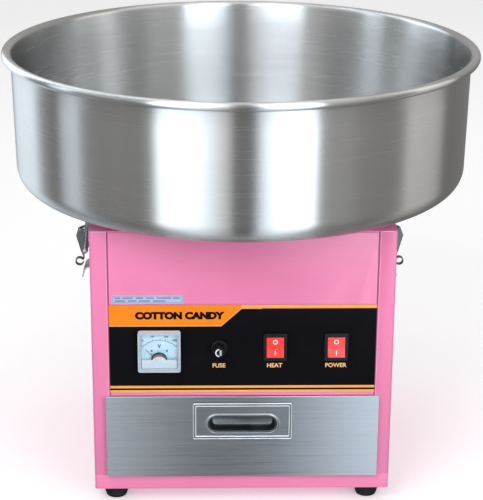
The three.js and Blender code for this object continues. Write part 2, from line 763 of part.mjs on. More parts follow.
addPart("head_base", turned(HEAD_BASE_PROFILE, HEAD_SEGMENTS), 0xc4c7ca, 0.35, 1);
addPart("heater_element", turned(HEATER_PROFILE, HEAD_SEGMENTS), 0x5a4a42, 0.6, 0.6);
addPart("screen_band", turned(sleeve(53.6, 55.6, 354.3, 374), HEAD_SEGMENTS), 0xc8cbce, 0.35, 1);
addPart("head_cover", turned(HEAD_COVER_PROFILE, HEAD_SEGMENTS), 0xc4c7ca, 0.3, 1);
const headNut = cut(turned(rod(10, 356.3, 363), 6), turned(rod(boreRadius, 356, 364), 24));
addPart("head_nut", headNut, STEEL, 0.3, 1);

// ---- Cable gland, with its bore left open ----

const GLAND_PROFILE = [
  [4.6, 148],
  [8, 148],
  [8, HALF_DEPTH + GAP],
  [12, HALF_DEPTH + GAP],
  [12, HALF_DEPTH + 6],
  [10, HALF_DEPTH + 7],
  [9, HALF_DEPTH + 15],
  [7, HALF_DEPTH + 18],
  [4.6, HALF_DEPTH + 18],
  [4.6, 148],
];
addPart("cable_gland", turnedAlongY(GLAND_PROFILE).translate(GLAND.x, 0, GLAND.z), BLACK, 0.5, 0);

export default machine;
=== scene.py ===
"""The cotton candy machine's looks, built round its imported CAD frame.

Lengths in this script are in millimetres and turn into metres where a piece is finished.
"""

import json
import math

import bmesh
import bpy
from mathutils import Matrix, Vector
from mathutils.geometry import tessellate_polygon


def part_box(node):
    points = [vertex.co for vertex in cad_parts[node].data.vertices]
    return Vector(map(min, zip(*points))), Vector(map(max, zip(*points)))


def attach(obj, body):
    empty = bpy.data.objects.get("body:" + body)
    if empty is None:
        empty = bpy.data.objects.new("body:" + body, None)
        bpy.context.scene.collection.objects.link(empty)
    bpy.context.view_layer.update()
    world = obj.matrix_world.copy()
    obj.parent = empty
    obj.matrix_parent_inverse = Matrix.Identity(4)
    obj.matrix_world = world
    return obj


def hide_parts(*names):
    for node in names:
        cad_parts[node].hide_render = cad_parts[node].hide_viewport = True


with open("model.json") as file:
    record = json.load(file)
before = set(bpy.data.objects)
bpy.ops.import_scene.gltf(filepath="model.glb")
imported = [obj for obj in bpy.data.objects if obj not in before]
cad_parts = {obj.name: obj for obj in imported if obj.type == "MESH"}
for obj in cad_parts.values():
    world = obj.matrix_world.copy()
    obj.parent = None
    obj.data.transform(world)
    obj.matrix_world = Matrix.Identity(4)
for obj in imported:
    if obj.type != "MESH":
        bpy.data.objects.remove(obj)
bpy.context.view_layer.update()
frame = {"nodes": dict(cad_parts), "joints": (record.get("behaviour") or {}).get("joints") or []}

MM = 0.001
SCENE = bpy.context.scene


def low_high(node):
    """A CAD node's lowest and highest corners, in millimetres."""
    low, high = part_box(node)
    return low / MM, high / MM


def span(node, axis="z"):
    """A CAD node's ends along one axis, in millimetres."""
    return [getattr(corner, axis) for corner in low_high(node)]


def middle_of(node, a, b):
    """The middle of a CAD node along two axes, in millimetres."""
    return sum(span(node, a)) / 2, sum(span(node, b)) / 2


# ---------- outlines


def polar(cx, cy, radius, degrees):
    """The point at a radius and an angle about a centre."""
    angle = math.radians(degrees)
    return cx + radius * math.cos(angle), cy + radius * math.sin(angle)


def arc(cx, cy, radius, start, end, steps):
    """Points round an arc, angles in degrees."""
    return [polar(cx, cy, radius, start + (end - start) * i / steps) for i in range(steps + 1)]


def circle(cx, cy, radius, count, first=0.0):
    """Evenly spaced points round a circle, the first at that angle in degrees."""
    return [polar(cx, cy, radius, first + 360 * i / count) for i in range(count)]


def rectangle(x0, x1, y0, y1):
    return [(x0, y0), (x1, y0), (x1, y1), (x0, y1)]


def rounded_rectangle(x0, x1, y0, y1, radius, steps=5):
    centres = rectangle(x1 - radius, x0 + radius, y1 - radius, y0 + radius)
    corners = [arc(*centre, radius, 90 * i, 90 * i + 90, steps) for i, centre in enumerate(centres)]
    return [point for corner in corners for point in corner]


def strip(line, thickness):
    """The outline of a bent sheet of even thickness that follows a line of 2-D points."""
    left, right = [], []
    for i, point in enumerate(line):
        along = (Vector(line[min(i + 1, len(line) - 1)]) - Vector(line[max(i - 1, 0)])).normalized()
        side = Vector((-along.y, along.x)) * thickness / 2
        left.append(tuple(Vector(point) + side))
        right.append(tuple(Vector(point) - side))
    return left + right[::-1]


def both_halves(half, low, high):
    """A profile's lower half followed by its reflection in the middle between low and high."""
    return half + [(radius, low + high - z) for radius, z in half[::-1]]


# ---------- solids


def loop(bm, outline, depth, axis):
    """A loop of vertices from an outline drawn across an axis, at a depth along it."""
    order = {"x": (2, 0, 1), "y": (0, 2, 1), "z": (0, 1, 2)}[axis]
    return [bm.verts.new([(a, b, depth)[k] for k in order]) for a, b in outline]


def walls(bm, *loops):
    """Faces between each closed loop of vertices and the next. A loop may be a single point."""
    for one, two in zip(loops, loops[1:]):
        count = max(len(one), len(two))
        for i in range(count if count > 1 else 0):
            j = (i + 1) % count
            corners = [one[i % len(one)], one[j % len(one)], two[j % len(two)], two[i % len(two)]]
            bm.faces.new(list(dict.fromkeys(corners)))


def lathe(bm, profile, segments=64, axis="z", centre=(0, 0), closed=False):
    """Revolves [radius, height] points about an axis through centre."""
    rings = []
    for radius, height in profile:
        outline = circle(*centre, radius, segments) if radius else [centre]
        rings.append(loop(bm, outline, height, axis))
    walls(bm, *rings, *rings[:closed])
    return bm


def rod(bm, radius, low, high, segments=64, axis="z", centre=(0, 0)):
    return lathe(bm, [(0, low), (radius, low), (radius, high), (0, high)], segments, axis, centre)


def sleeve(bm, inner, outer, low, high, segments=64, axis="z"):
    return lathe(bm, rectangle(inner, outer, low, high), segments, axis, closed=True)


def extrude(bm, outline, low, high, axis="y"):
    """A closed outline drawn across an axis, run from low to high along it."""
    ends = [loop(bm, outline, depth, axis) for depth in (low, high)]
    for end in ends:
        bm.faces.new(end)
    walls(bm, *ends)
    return bm


def framed(bm, outer, inner, low, high, axis="y"):
    """A plate between two outlines of equal point counts."""
    corners = ((outer, low), (outer, high), (inner, high), (inner, low))
    loops = [loop(bm, outline, depth, axis) for outline, depth in corners]
    walls(bm, *loops, loops[0])
    return bm


def fill_between(bm, outer, inner):
    """Fills the flat area between an outer loop of vertices and a hole's loop, whatever their counts."""
    verts = outer + inner
    for corners in tessellate_polygon([[v.co for v in outer], [v.co for v in inner]]):
        bm.faces.new([verts[i] for i in corners])


def holed(bm, outline, hole, low, high):
    """A plate across the Y axis with a hole of another shape through it."""
    ends = [[loop(bm, line, depth, "y") for line in (outline, hole)] for depth in (low, high)]
    for end in ends:
        fill_between(bm, *end)
    for front, back in zip(*ends):
        walls(bm, front, back)
    return bm


def block(bm, low, high):
    size = [h - l for l, h in zip(low, high)]
    middle = [(h + l) / 2 for l, h in zip(low, high)]
    bmesh.ops.create_cube(bm, size=1, matrix=Matrix.Translation(middle) @ Matrix.Diagonal((*size, 1)))
    return bm


def tube(bm, path, radius, sides=12):
    """A round bar along a path, with its section carried round without twist."""
    points = [Vector(p) for p in path]
    normal = (points[1] - points[0]).orthogonal()
    rings = []
    for i, point in enumerate(points):
        along = (points[min(i + 1, len(points) - 1)] - points[max(i - 1, 0)]).normalized()
        normal = (normal - along * normal.dot(along)).normalized()
        across = along.cross(normal)
        rings.append([bm.verts.new(point + normal * a + across * b) for a, b in circle(0, 0, radius, sides)])
    bm.faces.new(rings[0])
    bm.faces.new(rings[-1])
    walls(bm, *rings)
    return bm


def helix(start, end, radius, turns, steps):
    """Points of a coil about the line from start to end."""
    start, end = Vector(start), Vector(end)
    along = (end - start).normalized()
    u = along.orthogonal().normalized()
    v = along.cross(u)
    points = []
    for i in range(turns * steps + 1):
        a, b = polar(0, 0, radius, 360 * i / steps)
        points.append(start.lerp(end, i / (turns * steps)) + u * a + v * b)
    return points


def merge(bm, other, matrix):
    """Adds another bmesh to this one, moved by a matrix."""
    mesh = bpy.data.meshes.new("scratch")
    other.to_mesh(mesh)
    other.free()
    mesh.transform(matrix)
    bm.from_mesh(mesh)
    bpy.data.meshes.remove(mesh)


def screw(bm, centre, out, radius=3.2, height=1.6):
    """A pan-head screw with a cross on its head, standing out along a unit axis."""
    profile = [(0, 0), (radius, 0), (radius, height * 0.35)]
    profile += [(radius * math.cos(a), height * (0.35 + 0.65 * math.sin(a))) for a in (0.4, 0.8, 1.2)]
    head = lathe(bmesh.new(), [*profile, (0, height)], 24)
    reach, half_width = 0.589 * radius, 0.4
    for x, y in ((reach, half_width), (half_width, reach)):
        block(head, (-x, -y, height - 0.02), (x, y, height + 0.12))
    turn = Vector((0, 0, 1)).rotation_difference(Vector(out)).to_matrix().to_4x4()
    merge(bm, head, Matrix.Translation(centre) @ turn)
    return bm


def on_side(bm, side):
    """Turns a right-hand shape into its left-hand twin where the side is the left."""
    if side == "left":
        bmesh.ops.scale(bm, vec=(-1, 1, 1), verts=bm.verts)
        bmesh.ops.reverse_faces(bm, faces=bm.faces)
    return bm


# ---------- objects


def add_object(name, bm, material):
    """Turns a bmesh in millimetres into an object in metres."""
    bmesh.ops.recalc_face_normals(bm, faces=bm.faces)
    bmesh.ops.scale(bm, vec=(MM, MM, MM), verts=bm.verts)
    mesh = bpy.data.meshes.new(name)
    bm.to_mesh(mesh)
    bm.free()
    mesh.materials.append(material)
    obj = bpy.data.objects.new(name, mesh)
    SCENE.collection.objects.link(obj)
    return obj


def add_bevel(obj, width, segments, angle=38):
    bevel = obj.modifiers.new("edges", "BEVEL")
    bevel.width = width * MM
    bevel.segments = segments
    bevel.limit_method = "ANGLE"
    bevel.angle_limit = math.radians(angle)
    bevel.harden_normals = True


def shade_smooth(mesh):
    mesh.polygons.foreach_set("use_smooth", [True] * len(mesh.polygons))


def piece(name, bm, body, slot, replaces=(), look=None, bevel=0.0, segments=3, angle=38):
    """Finishes a bmesh as a piece of the machine riding on a body, in its slot's own look or another."""
    bmesh.ops.remove_doubles(bm, verts=bm.verts, dist=1e-4)
    obj = add_object(name, bm, MATERIALS[look or slot])
    shade_smooth(obj.data)
    if bevel:
        add_bevel(obj, bevel, segments, angle)
    else:
        obj.data.set_sharp_from_angle(angle=math.radians(angle))
    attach(obj, body)
    if replaces:
        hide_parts(*replaces)
    return obj


def dress(node, material, bevel):
    """Gives a CAD node its material and softened edges."""
    obj = frame["nodes"][node]
    obj.data.materials.clear()
    obj.data.materials.append(MATERIALS[material])
    obj.modifiers.new("weld", "WELD").merge_threshold = 1e-6
    shade_smooth(obj.data)
    add_bevel(obj, bevel, 2)


def lettering(name, words, height, x, z, y, slot, look, thicken, stretch=1.0):
    """Plain sans words facing the front, centred at x and z with that cap height, a little proud of y."""
    relief = 0.06
    curve = bpy.data.curves.new(name + "_curve", "FONT")
    curve.body = words
    curve.size = 10
    curve.offset = thicken
    curve.extrude = 0.5
    text = bpy.data.objects.new(name + "_text", curve)
    SCENE.collection.objects.link(text)
    bpy.context.view_layer.update()
    mesh = bpy.data.meshes.new_from_object(text.evaluated_get(bpy.context.evaluated_depsgraph_get()))
    bm = bmesh.new()
    bm.from_mesh(mesh)
    bpy.data.objects.remove(text)
    bpy.data.curves.remove(curve)
    bpy.data.meshes.remove(mesh)
    low = [min(v.co[i] for v in bm.verts) for i in range(3)]
    high = [max(v.co[i] for v in bm.verts) for i in range(3)]
    scale = height / (high[1] - low[1])
    middle = [(a + b) / 2 for a, b in zip(low, high)]
    for v in bm.verts:
        across, up, out = (v.co[i] - middle[i] for i in range(3))
        v.co = (x + across * scale * stretch, y - relief / 2 - out * relief, z + up * scale)
    piece(name, bm, "cabinet", slot, look=look, angle=30)


# ---------- materials


class Wiring:
    """Node helpers for one new material."""

    def __init__(self, name):
        self.material = bpy.data.materials.new(name)
        self.material.use_nodes = True
        self.nodes = self.material.node_tree.nodes
        self.place = self.add("TexCoord").outputs["Object"]

    def feed(self, socket, value):
        """Links an output to an input socket, or sets the socket to a plain value."""
        if isinstance(value, bpy.types.NodeSocket):
            self.material.node_tree.links.new(value, socket)
        else:
            socket.default_value = value

    def add(self, kind, **inputs):
        """A new node with inputs by name, underscores standing for spaces."""
        node = self.nodes.new("ShaderNode" + kind)
        for key, value in inputs.items():
            self.feed(node.inputs[key.replace("_", " ")], value)
        return node

    def math(self, operation, *values):
        node = self.add("Math")
        node.operation = operation
        for socket, value in zip(node.inputs, values):
            self.feed(socket, value)
        return node.outputs[0]


class Shader(Wiring):
    """A material being wired up round its Principled BSDF."""

    def __init__(self, name, color, roughness, metallic=0.0, **inputs):
        super().__init__(name)
        self.material.diffuse_color = (*color, 1)
        self.color = color
        self.principled(Base_Color=(*color, 1), Roughness=roughness, Metallic=metallic, **inputs)

    def principled(self, **inputs):
        for key, value in inputs.items():
            self.feed(self.nodes["Principled BSDF"].inputs[key.replace("_", " ")], value)

    def noise(self, vector, scale, detail=3.0, roughness=0.55):
        return self.add("TexNoise", Vector=vector, Scale=scale, Detail=detail, Roughness=roughness).outputs[0]

    def spread(self, noise, low, high):
        """The middle of a noise's range, taken to a new range."""
        node = self.add("MapRange", Value=noise, From_Min=0.3, From_Max=0.7, To_Min=low, To_Max=high)
        return node.outputs[0]

    def tint(self, noise, low, high):
        """Varies the base colour's brightness between two factors."""
        mix = self.add("Mix")
        mix.data_type = "RGBA"
        self.feed(mix.inputs[0], self.spread(noise, 0, 1))
        for socket, factor in ((mix.inputs[6], low), (mix.inputs[7], high)):
            socket.default_value = (*[min(c * factor, 1) for c in self.color], 1)
        self.principled(Base_Color=mix.outputs[2])

    def rough(self, noise, low, high):
        self.principled(Roughness=self.spread(noise, low, high))

    def bump(self, noise, distance, strength):
        node = self.add("Bump", Strength=strength, Distance=distance, Height=noise)
        self.principled(Normal=node.outputs[0])

    def mixed(self, one, two, share):
        """Two values added together, one with that share and two with the rest."""
        return self.math("ADD", self.math("MULTIPLY", one, share), self.math("MULTIPLY", two, 1 - share))

    def round_z(self, around, across):
        """Coordinates round the Z axis: the angle scaled by one factor, radius and height by the other."""
        x, y, z = self.add("SeparateXYZ", Vector=self.place).outputs
        angle = self.math("MULTIPLY", self.math("ARCTAN2", y, x), around)
        square = self.math("ADD", self.math("MULTIPLY", x, x), self.math("MULTIPLY", y, y))
        radius = self.math("MULTIPLY", self.math("SQRT", square), across)
        height = self.math("MULTIPLY", z, across)
        return self.add("CombineXYZ", X=angle, Y=radius, Z=height).outputs[0]

    def scaled(self, factors):
        return self.add("Mapping", Vector=self.place, Scale=factors).outputs[0]

    def tangent_round_z(self):
        node = self.add("Tangent")
        node.direction_type = "RADIAL"
        node.axis = "Z"
        self.principled(Tangent=node.outputs[0])


def painted(name, color, roughness=0.33):
    """Powder coat: orange peel, slight mottling and a clear gloss over it."""
    s = Shader(name, color, roughness, Coat_Weight=0.15, Coat_Roughness=0.15, Specular_IOR_Level=0.35)
    s.tint(s.noise(s.place, 14, 4), 0.965, 1.03)
    s.rough(s.noise(s.place, 60), roughness - 0.05, roughness + 0.07)
    s.bump(s.noise(s.place, 900, 2), 0.00006, 0.5)
    return s.material


def spun_steel(name, color, roughness, anisotropy, tone=(0.88, 1.1)):
    """Sheet steel with its grain running round the Z axis."""
    s = Shader(name, color, roughness, 1.0, Anisotropic=anisotropy, Anisotropic_Rotation=0.25)
    s.tangent_round_z()
    fine = s.noise(s.round_z(1.6, 2600), 1, 3, 0.6)
    both = s.mixed(fine, s.noise(s.round_z(2.5, 160), 1, 3, 0.6), 0.6)
    s.tint(both, *tone)
    s.rough(both, roughness - 0.015, roughness + 0.02)
    s.bump(fine, 0.00002, 0.12)
    return s.material


def grained_steel(name, color, roughness, anisotropy, tone):
    """Sheet steel with straight grain along the X axis."""
    s = Shader(name, color, roughness, 1.0, Anisotropic=anisotropy, Anisotropic_Rotation=0.25)
    s.tangent_round_z()
    along, across = 9, 1900
    fine = s.noise(s.scaled((along, across, across)), 1, 4, 0.65)
    broad = s.noise(s.scaled((along * 0.3, across * 0.3, across * 0.3)), 1, 2, 0.5)
    both = s.mixed(fine, broad, 0.8)
    s.tint(both, *tone)
    s.rough(both, roughness - 0.06, roughness + 0.08)
    s.bump(fine, 0.00002, 0.2)
    return s.material


def plain_metal(name, color, roughness, speck, tone=(0.9, 1.08), depth=0.00003):
    """Plated, cast or polished metal with light mottling and handling marks."""
    s = Shader(name, color, roughness, 1.0)
    s.tint(s.noise(s.place, speck, 4), *tone)
    s.rough(s.noise(s.place, speck * 0.4, 4), roughness - 0.06, roughness + 0.1)
    s.bump(s.noise(s.place, speck * 4, 2), depth, 0.4)
    return s.material


def moulded(name, color, roughness, texture=1400, depth=0.00004, tone=(0.93, 1.06), **inputs):
    """Moulded plastic or rubber with a fine spark-eroded texture."""
    s = Shader(name, color, roughness, **inputs)
    s.tint(s.noise(s.place, 90), *tone)
    s.rough(s.noise(s.place, 240), roughness - 0.05, roughness + 0.07)
    s.bump(s.noise(s.place, texture, 2), depth, 0.5)
    return s.material


def ink(name, color, specular):
    return moulded(name, color, 0.4, 2200, 0.00001, Specular_IOR_Level=specular)


def window_glass():
    """Clear styrene with faint haze and fine wiping marks."""
    s = Shader("meter_window_clear", (0.96, 0.98, 1.0), 0.06, Transmission_Weight=1.0, IOR=1.2, Alpha=0.35)
    s.rough(s.noise(s.place, 300, 4), 0.03, 0.12)
    s.bump(s.noise(s.place, 500, 2), 0.00001, 0.2)
    return s.material


EVEN = (0.97, 1.03)  # the tone of a metal with hardly any mottling

# Looks by name. Each slot has a look of its own name, and the others are for single pieces of a slot.
MATERIALS = {
    "pink_paint": painted("pink_powder_coat", (0.868, 0.24, 0.455)),
    # a lighter pink than the panels: painted highlight along the flanges' rounded edges
    "painted_fold_highlight": painted("pink_painted_highlight", (1.0, 0.46, 0.68), 0.3),
    # a dark pink strip: painted shadow of the gap at the panel seams
    "joint_shadow": painted("pink_gap_painted_shadow", (0.34, 0.055, 0.16), 0.5),
    "bowl_steel": spun_steel("spun_bowl_steel", (0.5, 0.5, 0.5), 0.26, 1.0, EVEN),
    "drawer_steel": grained_steel("brushed_drawer_steel", (0.36, 0.38, 0.41), 0.3, 0.8, (0.93, 1.06)),
    "handle_chrome": grained_steel("pressed_handle_steel", (0.24, 0.25, 0.265), 0.32, 0.3, EVEN),
    # far brighter than the pull's own steel: painted highlight on its raised border
    "pull_border_painted_highlight": plain_metal("pull_ridge_painted_highlight", (0.9, 0.92, 0.95), 0.34, 120, EVEN, 0.00001),
    # much darker than the pull's own steel: painted shade inside the recess
    "pull_cup_painted_shade": plain_metal("cup_steel_painted_shade", (0.11, 0.114, 0.12), 0.34, 120, EVEN, 0.00001),
    "zinc_steel": plain_metal("zinc_plate", (0.4, 0.41, 0.42), 0.2, 260),
    # far darker than the zinc plate the latch lever is made of: painted shade
    "lever_painted_shade": plain_metal("dark_lever_zinc_painted_shade", (0.1, 0.103, 0.107), 0.24, 260),
    "cast_head": spun_steel("turned_aluminium", (0.72, 0.73, 0.74), 0.26, 0.5),
    "black_rubber": moulded("black_rubber", (0.009, 0.009, 0.01), 0.62, 900, 0.00008, Specular_IOR_Level=0.2),
    "black_plastic": moulded("black_plastic", (0.008, 0.008, 0.009), 0.3, Specular_IOR_Level=0.22),
    "decal_film": ink("black_film", (0.0055, 0.0055, 0.0072), 0.02),
    "meter_case": moulded("meter_moulding", (0.56, 0.6, 0.68), 0.28),
    "meter_dial": moulded("meter_card", (0.56, 0.79, 0.93), 0.5),
    "meter_window": window_glass(),
    "needle_paint": moulded("needle_black", (0.02, 0.02, 0.024), 0.45),
    "rocker_red": moulded("rocker_red", (0.95, 0.05, 0.042), 0.22, Coat_Weight=0.4, Coat_Roughness=0.1),
    "copper_alloy": spun_steel("turned_brass", (0.72, 0.42, 0.15), 0.25, 0.4),
    "carbon": moulded("pressed_carbon", (0.02, 0.02, 0.021), 0.6, 2600, 0.0001),
    "phenolic": moulded("phenolic_board", (0.1, 0.036, 0.016), 0.5, 700, 0.00006, (0.8, 1.2)),
    "heater_alloy": plain_metal("heat_browned_sheath", (0.2, 0.13, 0.09), 0.45, 120, (0.7, 1.3)),
    "motor_enamel": painted("motor_enamel", (0.07, 0.078, 0.085), 0.4),
    "fuse_glass": moulded("fuse_glass", (0.75, 0.8, 0.8), 0.12),
    "orange": ink("orange_ink", (1.0, 0.262, 0.012), 0.2),
    "pale_orange": ink("pale_orange_ink", (1.0, 0.42, 0.1), 0.2),
    "caption": ink("caption_ink", (1.0, 0.58, 0.25), 0.2),
    "black": ink("black_ink", (0.006, 0.005, 0.005), 0.05),
    "white": ink("white_ink", (0.9, 0.9, 0.9), 0.5),
    "blue_label": moulded("pale_blue_label", (0.45, 0.54, 0.76), 0.45, 1800, 0.00001),
    "label_grey": moulded("label_grey_ink", (0.09, 0.12, 0.26), 0.5, 1800, 0.00001),
    "smoke": moulded("smoked_moulding", (0.13, 0.11, 0.1), 0.35, 1500),
    "frost": moulded("frosted_moulding", (0.55, 0.66, 0.76), 0.5, 1500, 0.00006),
}

# ---------- camera, floor and light


def turned(degrees, axis):
    return Matrix.Rotation(math.radians(degrees), 4, axis)


def set_camera():
    data = bpy.data.cameras.new("camera")
    data.lens = 117.0
    data.sensor_width = 36
    camera = bpy.data.objects.new("camera", data)
    aim = turned(-1.396, "Z") @ turned(70.576, "X") @ turned(0.351, "Z")
    camera.matrix_world = Matrix.Translation((-0.0407, -1.748, 0.8524)) @ aim
    SCENE.collection.objects.link(camera)
    SCENE.camera = camera


def set_floor():
    """Seamless white paper, lit a little from behind, as on a product table."""
    s = Shader("pale_floor", (0.9, 0.9, 0.905), 0.9, Specular_IOR_Level=0.1)
    s.principled(Emission_Color=(1, 1, 1, 1), Emission_Strength=0.3)
    floor = add_object("floor", lathe(bmesh.new(), [(0, 0), (9000, 0)], 96), s.material)
    floor.location.z = -0.0003
    floor.visible_glossy = False
    floor.visible_diffuse = False


# Azimuths of the studio's bright screens in degrees from the front towards the right, and their brightness.
SCREENS = [
    (-180, 0.26), (-150, 0.26), (-144, 1.2), (-128, 1.5), (-114, 1.6), (-106, 0.26), (-92, 0.22),
    (-89, 1.2), (-79, 1.2), (-76, 0.28), (-58, 0.36), (-40, 0.3), (-37, 2.7), (-20, 2.2), (-6, 0.8),
    (-4, 0.2), (5, 0.2), (8, 1.5), (16, 2.6), (31, 3.0), (33.5, 0.27), (56, 0.36), (76, 0.28), (80, 0.85),
    (104, 0.75), (108, 0.26), (180, 0.26),
]
BRIGHTEST = max(level for _, level in SCREENS)
# Heights up the ring in metres and the gain there.
HEIGHTS = [(-2.5, 0.5), (-0.6, 0.6), (-0.1, 0.92), (0.3, 0.95), (0.7, 2.1), (3.0, 2.1)]
RING_LOW, RING_HIGH, RING_RADIUS = -2.5, 3.0, 1.15
TOP_GAIN = 2.2


def screen_colors(ramp):
    """Sets the ramp's stops to the screens, cool where they are bright and warm where they are dark."""
    stops = ramp.color_ramp.elements
    while len(stops) > 1:
        stops.remove(stops[-1])
    for i, (azimuth, level) in enumerate(SCREENS):
        stop = stops.new(0.5 + azimuth / 360) if i else stops[0]
        stop.position = 0.5 + azimuth / 360
        tone = (0.84, 0.93, 1) if level > 0.9 else (1, 0.985, 0.95)
        stop.color = (*[level / BRIGHTEST * c for c in tone], 1)


def screen_gains(node):
    """Sets the curve from a share of the ring's height to a share of the top gain."""
    shares = [((z - RING_LOW) / (RING_HIGH - RING_LOW), gain / TOP_GAIN) for z, gain in HEIGHTS]
    points = node.mapping.curves[0].points
    points[0].location = shares[0]
    points[1].location = shares[-1]
    for share in shares[1:-1]:
        points.new(*share)
    for point in points:
        point.handle_type = "VECTOR"
    node.mapping.update()


def set_reflected_studio():
    """A ring of light and dark screens that only glossy surfaces see."""
    s = Wiring("studio_screens")
    s.material.cycles.emission_sampling = "NONE"
    s.nodes.remove(s.nodes["Principled BSDF"])
    x, y, z = s.add("SeparateXYZ", Vector=s.place).outputs
    ramp = s.add("ValToRGB")
    azimuth = s.math("ARCTAN2", x, s.math("MULTIPLY", y, -1))
    s.feed(ramp.inputs[0], s.math("MULTIPLY_ADD", azimuth, 0.5 / math.pi, 0.5))
    screen_colors(ramp)
    tall = RING_HIGH - RING_LOW
    gain = s.add("FloatCurve", Value=s.math("MULTIPLY_ADD", z, 1 / tall, -RING_LOW / tall))
    screen_gains(gain)
    power = s.math("MULTIPLY", gain.outputs[0], BRIGHTEST * TOP_GAIN)
    glow = s.add("Emission", Color=ramp.outputs[0], Strength=power)
    s.feed(s.nodes["Material Output"].inputs["Surface"], glow.outputs[0])
    profile = [(RING_RADIUS / MM, RING_LOW / MM), (RING_RADIUS / MM, RING_HIGH / MM)]
    ring = add_object("studio_ring", lathe(bmesh.new(), profile, 128), s.material)
    ring.visible_camera = False
    ring.visible_diffuse = False
    ring.visible_shadow = False
    ring.visible_transmission = False


def add_light(name, place, aim, size, power):
    data = bpy.data.lights.new(name, "AREA")
    data.shape = "RECTANGLE"
    data.size, data.size_y = size
    data.energy = power
    light = bpy.data.objects.new(name, data)
    light.location = place
    light.rotation_euler = (Vector(aim) - Vector(place)).to_track_quat("-Z", "Y").to_euler()
    light.visible_camera = False
    SCENE.collection.objects.link(light)


def set_lights():
    world = bpy.data.worlds.new("studio")
    world.use_nodes = True
    background = world.node_tree.nodes["Background"]
    background.inputs["Color"].default_value = (1, 1, 1, 1)
    background.inputs["Strength"].default_value = 0.52
    SCENE.world = world
    add_light("key", (-1.3, -2.2, 2.1), (0, 0, 0.25), (1.6, 1.6), 33)
    add_light("fill", (1.6, -2.0, 1.2), (0, 0, 0.2), (1.4, 1.4), 17)
    add_light("front", (0.9, -2.2, 0.55), (0, 0, 0.15), (1.2, 1.0), 9)
    add_light("top", (0, 0.2, 2.4), (0, 0, 0.3), (1.8, 1.8), 9)
    SCENE.view_settings.view_transform = "Standard"
    SCENE.view_settings.look = "None"


set_camera()
set_floor()
set_reflected_studio()
set_lights()

# ---------- cabinet

for panel in ("base_pan", "side_panel_left", "side_panel_right", "front_panel", "back_panel", "top_panel"):
    dress(panel, "pink_paint", 0.35)
dress("control_decal", "decal_film", 0.1)
for fitting in ("drawer_shelf", "drawer_guide_left", "drawer_guide_right", "motor_bracket"):
    dress(fitting, "zinc_steel", 0.3)
dress("drawer_tray", "drawer_steel", 0.3)
dress("brush_holder", "phenolic", 0.5)
for level in ("upper", "lower"):
    dress("carbon_brush_" + level, "carbon", 0.4)

FACE = low_high("front_panel")[0].y
DECAL_LOW, DECAL_HIGH = low_high("control_decal")
DECAL_FACE = DECAL_LOW.y
PAN_LOW, PAN_HIGH = low_high("base_pan")
TOP = low_high("top_panel")[1].z
HALF = PAN_HIGH.x
DRAWER_LOW, DRAWER_HIGH = low_high("drawer_front")


def cabinet_fold_highlights_and_gap_shadows():
    """Dark pink strips at the joints beside the wrapped front flanges, a painted shadow of the gaps there,
    and rounded fold beads along the flanges' edges in a lighter pink, a painted highlight.
    """
    seam = low_high("front_panel")[1].x + 0.2
    low, high = DRAWER_HIGH.z + 0.6, TOP - 0.8
    joints, fold_highlights = bmesh.new(), bmesh.new()
    for side in (-1, 1):
        x = side * seam
        # a thin dark strip in the seam: painted shadow of the gap between flange and front panel
        block(joints, (x - 0.8, FACE - 0.08, low), (x + 0.8, FACE + 0.3, high))
        x += side * 1.3
        # round beads in a lighter pink than the panels: painted highlight on the flange edges
        tube(fold_highlights, [(x, FACE, low), (x, FACE, high)], 0.45, 8)
        tube(fold_highlights, [(x, FACE, high), (side * (HALF - 2), FACE, high)], 0.8, 8)
    piece("panel_gap_painted_shadows", joints, "cabinet", "pink_paint", look="joint_shadow")
    piece("panel_fold_highlights", fold_highlights, "cabinet", "pink_paint", look="painted_fold_highlight")


def cabinet_screws():
    """Panel screws at the back and top."""
    bm = bmesh.new()
    for x in (-131, 131):
        for z in (48, 175, 298):
            screw(bm, (x, HALF + 0.02, z), (0, 1, 0))
    for x in (-120, 120):
        for y in (-148, 148):
            screw(bm, (x, y, TOP + 0.02), (0, 0, 1), 3, 1.4)
    for x, y in ((-44, 58), (44, 58), (-44, 132), (44, 132)):
        screw(bm, (x, y, TOP + 0.02), (0, 0, 1), 3.6)
    piece("cabinet_screws", bm, "cabinet", "zinc_steel")


def louvre_hoods():
    """Pressed hoods over the back panel's slots."""
    bm = bmesh.new()
    for x in (-50, 50):
        for row in range(6):
            z = 205 + 14 * row
            root = HALF + 0.1
            line = [(root, z + 6.6), (HALF + 2.6, z + 5.4), (HALF + 3.6, z + 2.6), (HALF + 3.7, z + 0.6)]
            extrude(bm, strip(line, 0.9), x - 33, x + 33, "x")
            for end in (x - 33, x + 32.1):
                extrude(bm, [*line, (root, z + 0.6)], end, end + 0.9, "x")
    piece("louvre_hoods", bm, "cabinet", "pink_paint", bevel=0.25, segments=2)


def pan_embossing():
    """Pressed ribs and round bosses over the feet, on the base pan's underside."""
    bm = bmesh.new()
    bottom = PAN_LOW.z
    for x in (-70, 0, 70):
        outline = rounded_rectangle(x - 7, x + 7, -110, 110, 6.9)
        inner = rounded_rectangle(x - 4.5, x + 4.5, -107.5, 107.5, 4.4)
        framed(bm, outline, inner, bottom - 1.0, bottom + 0.2, "z")
    profile = [(0, bottom + 0.1), (15.5, bottom + 0.1), (15, bottom - 0.25), (0, bottom - 0.25)]
    for x in (-137.8, 137.8):
        for y in (-139, 139):
            lathe(bm, profile, 32, centre=(x, y))
    piece("pan_embossing", bm, "cabinet", "pink_paint", bevel=0.2, segments=2)


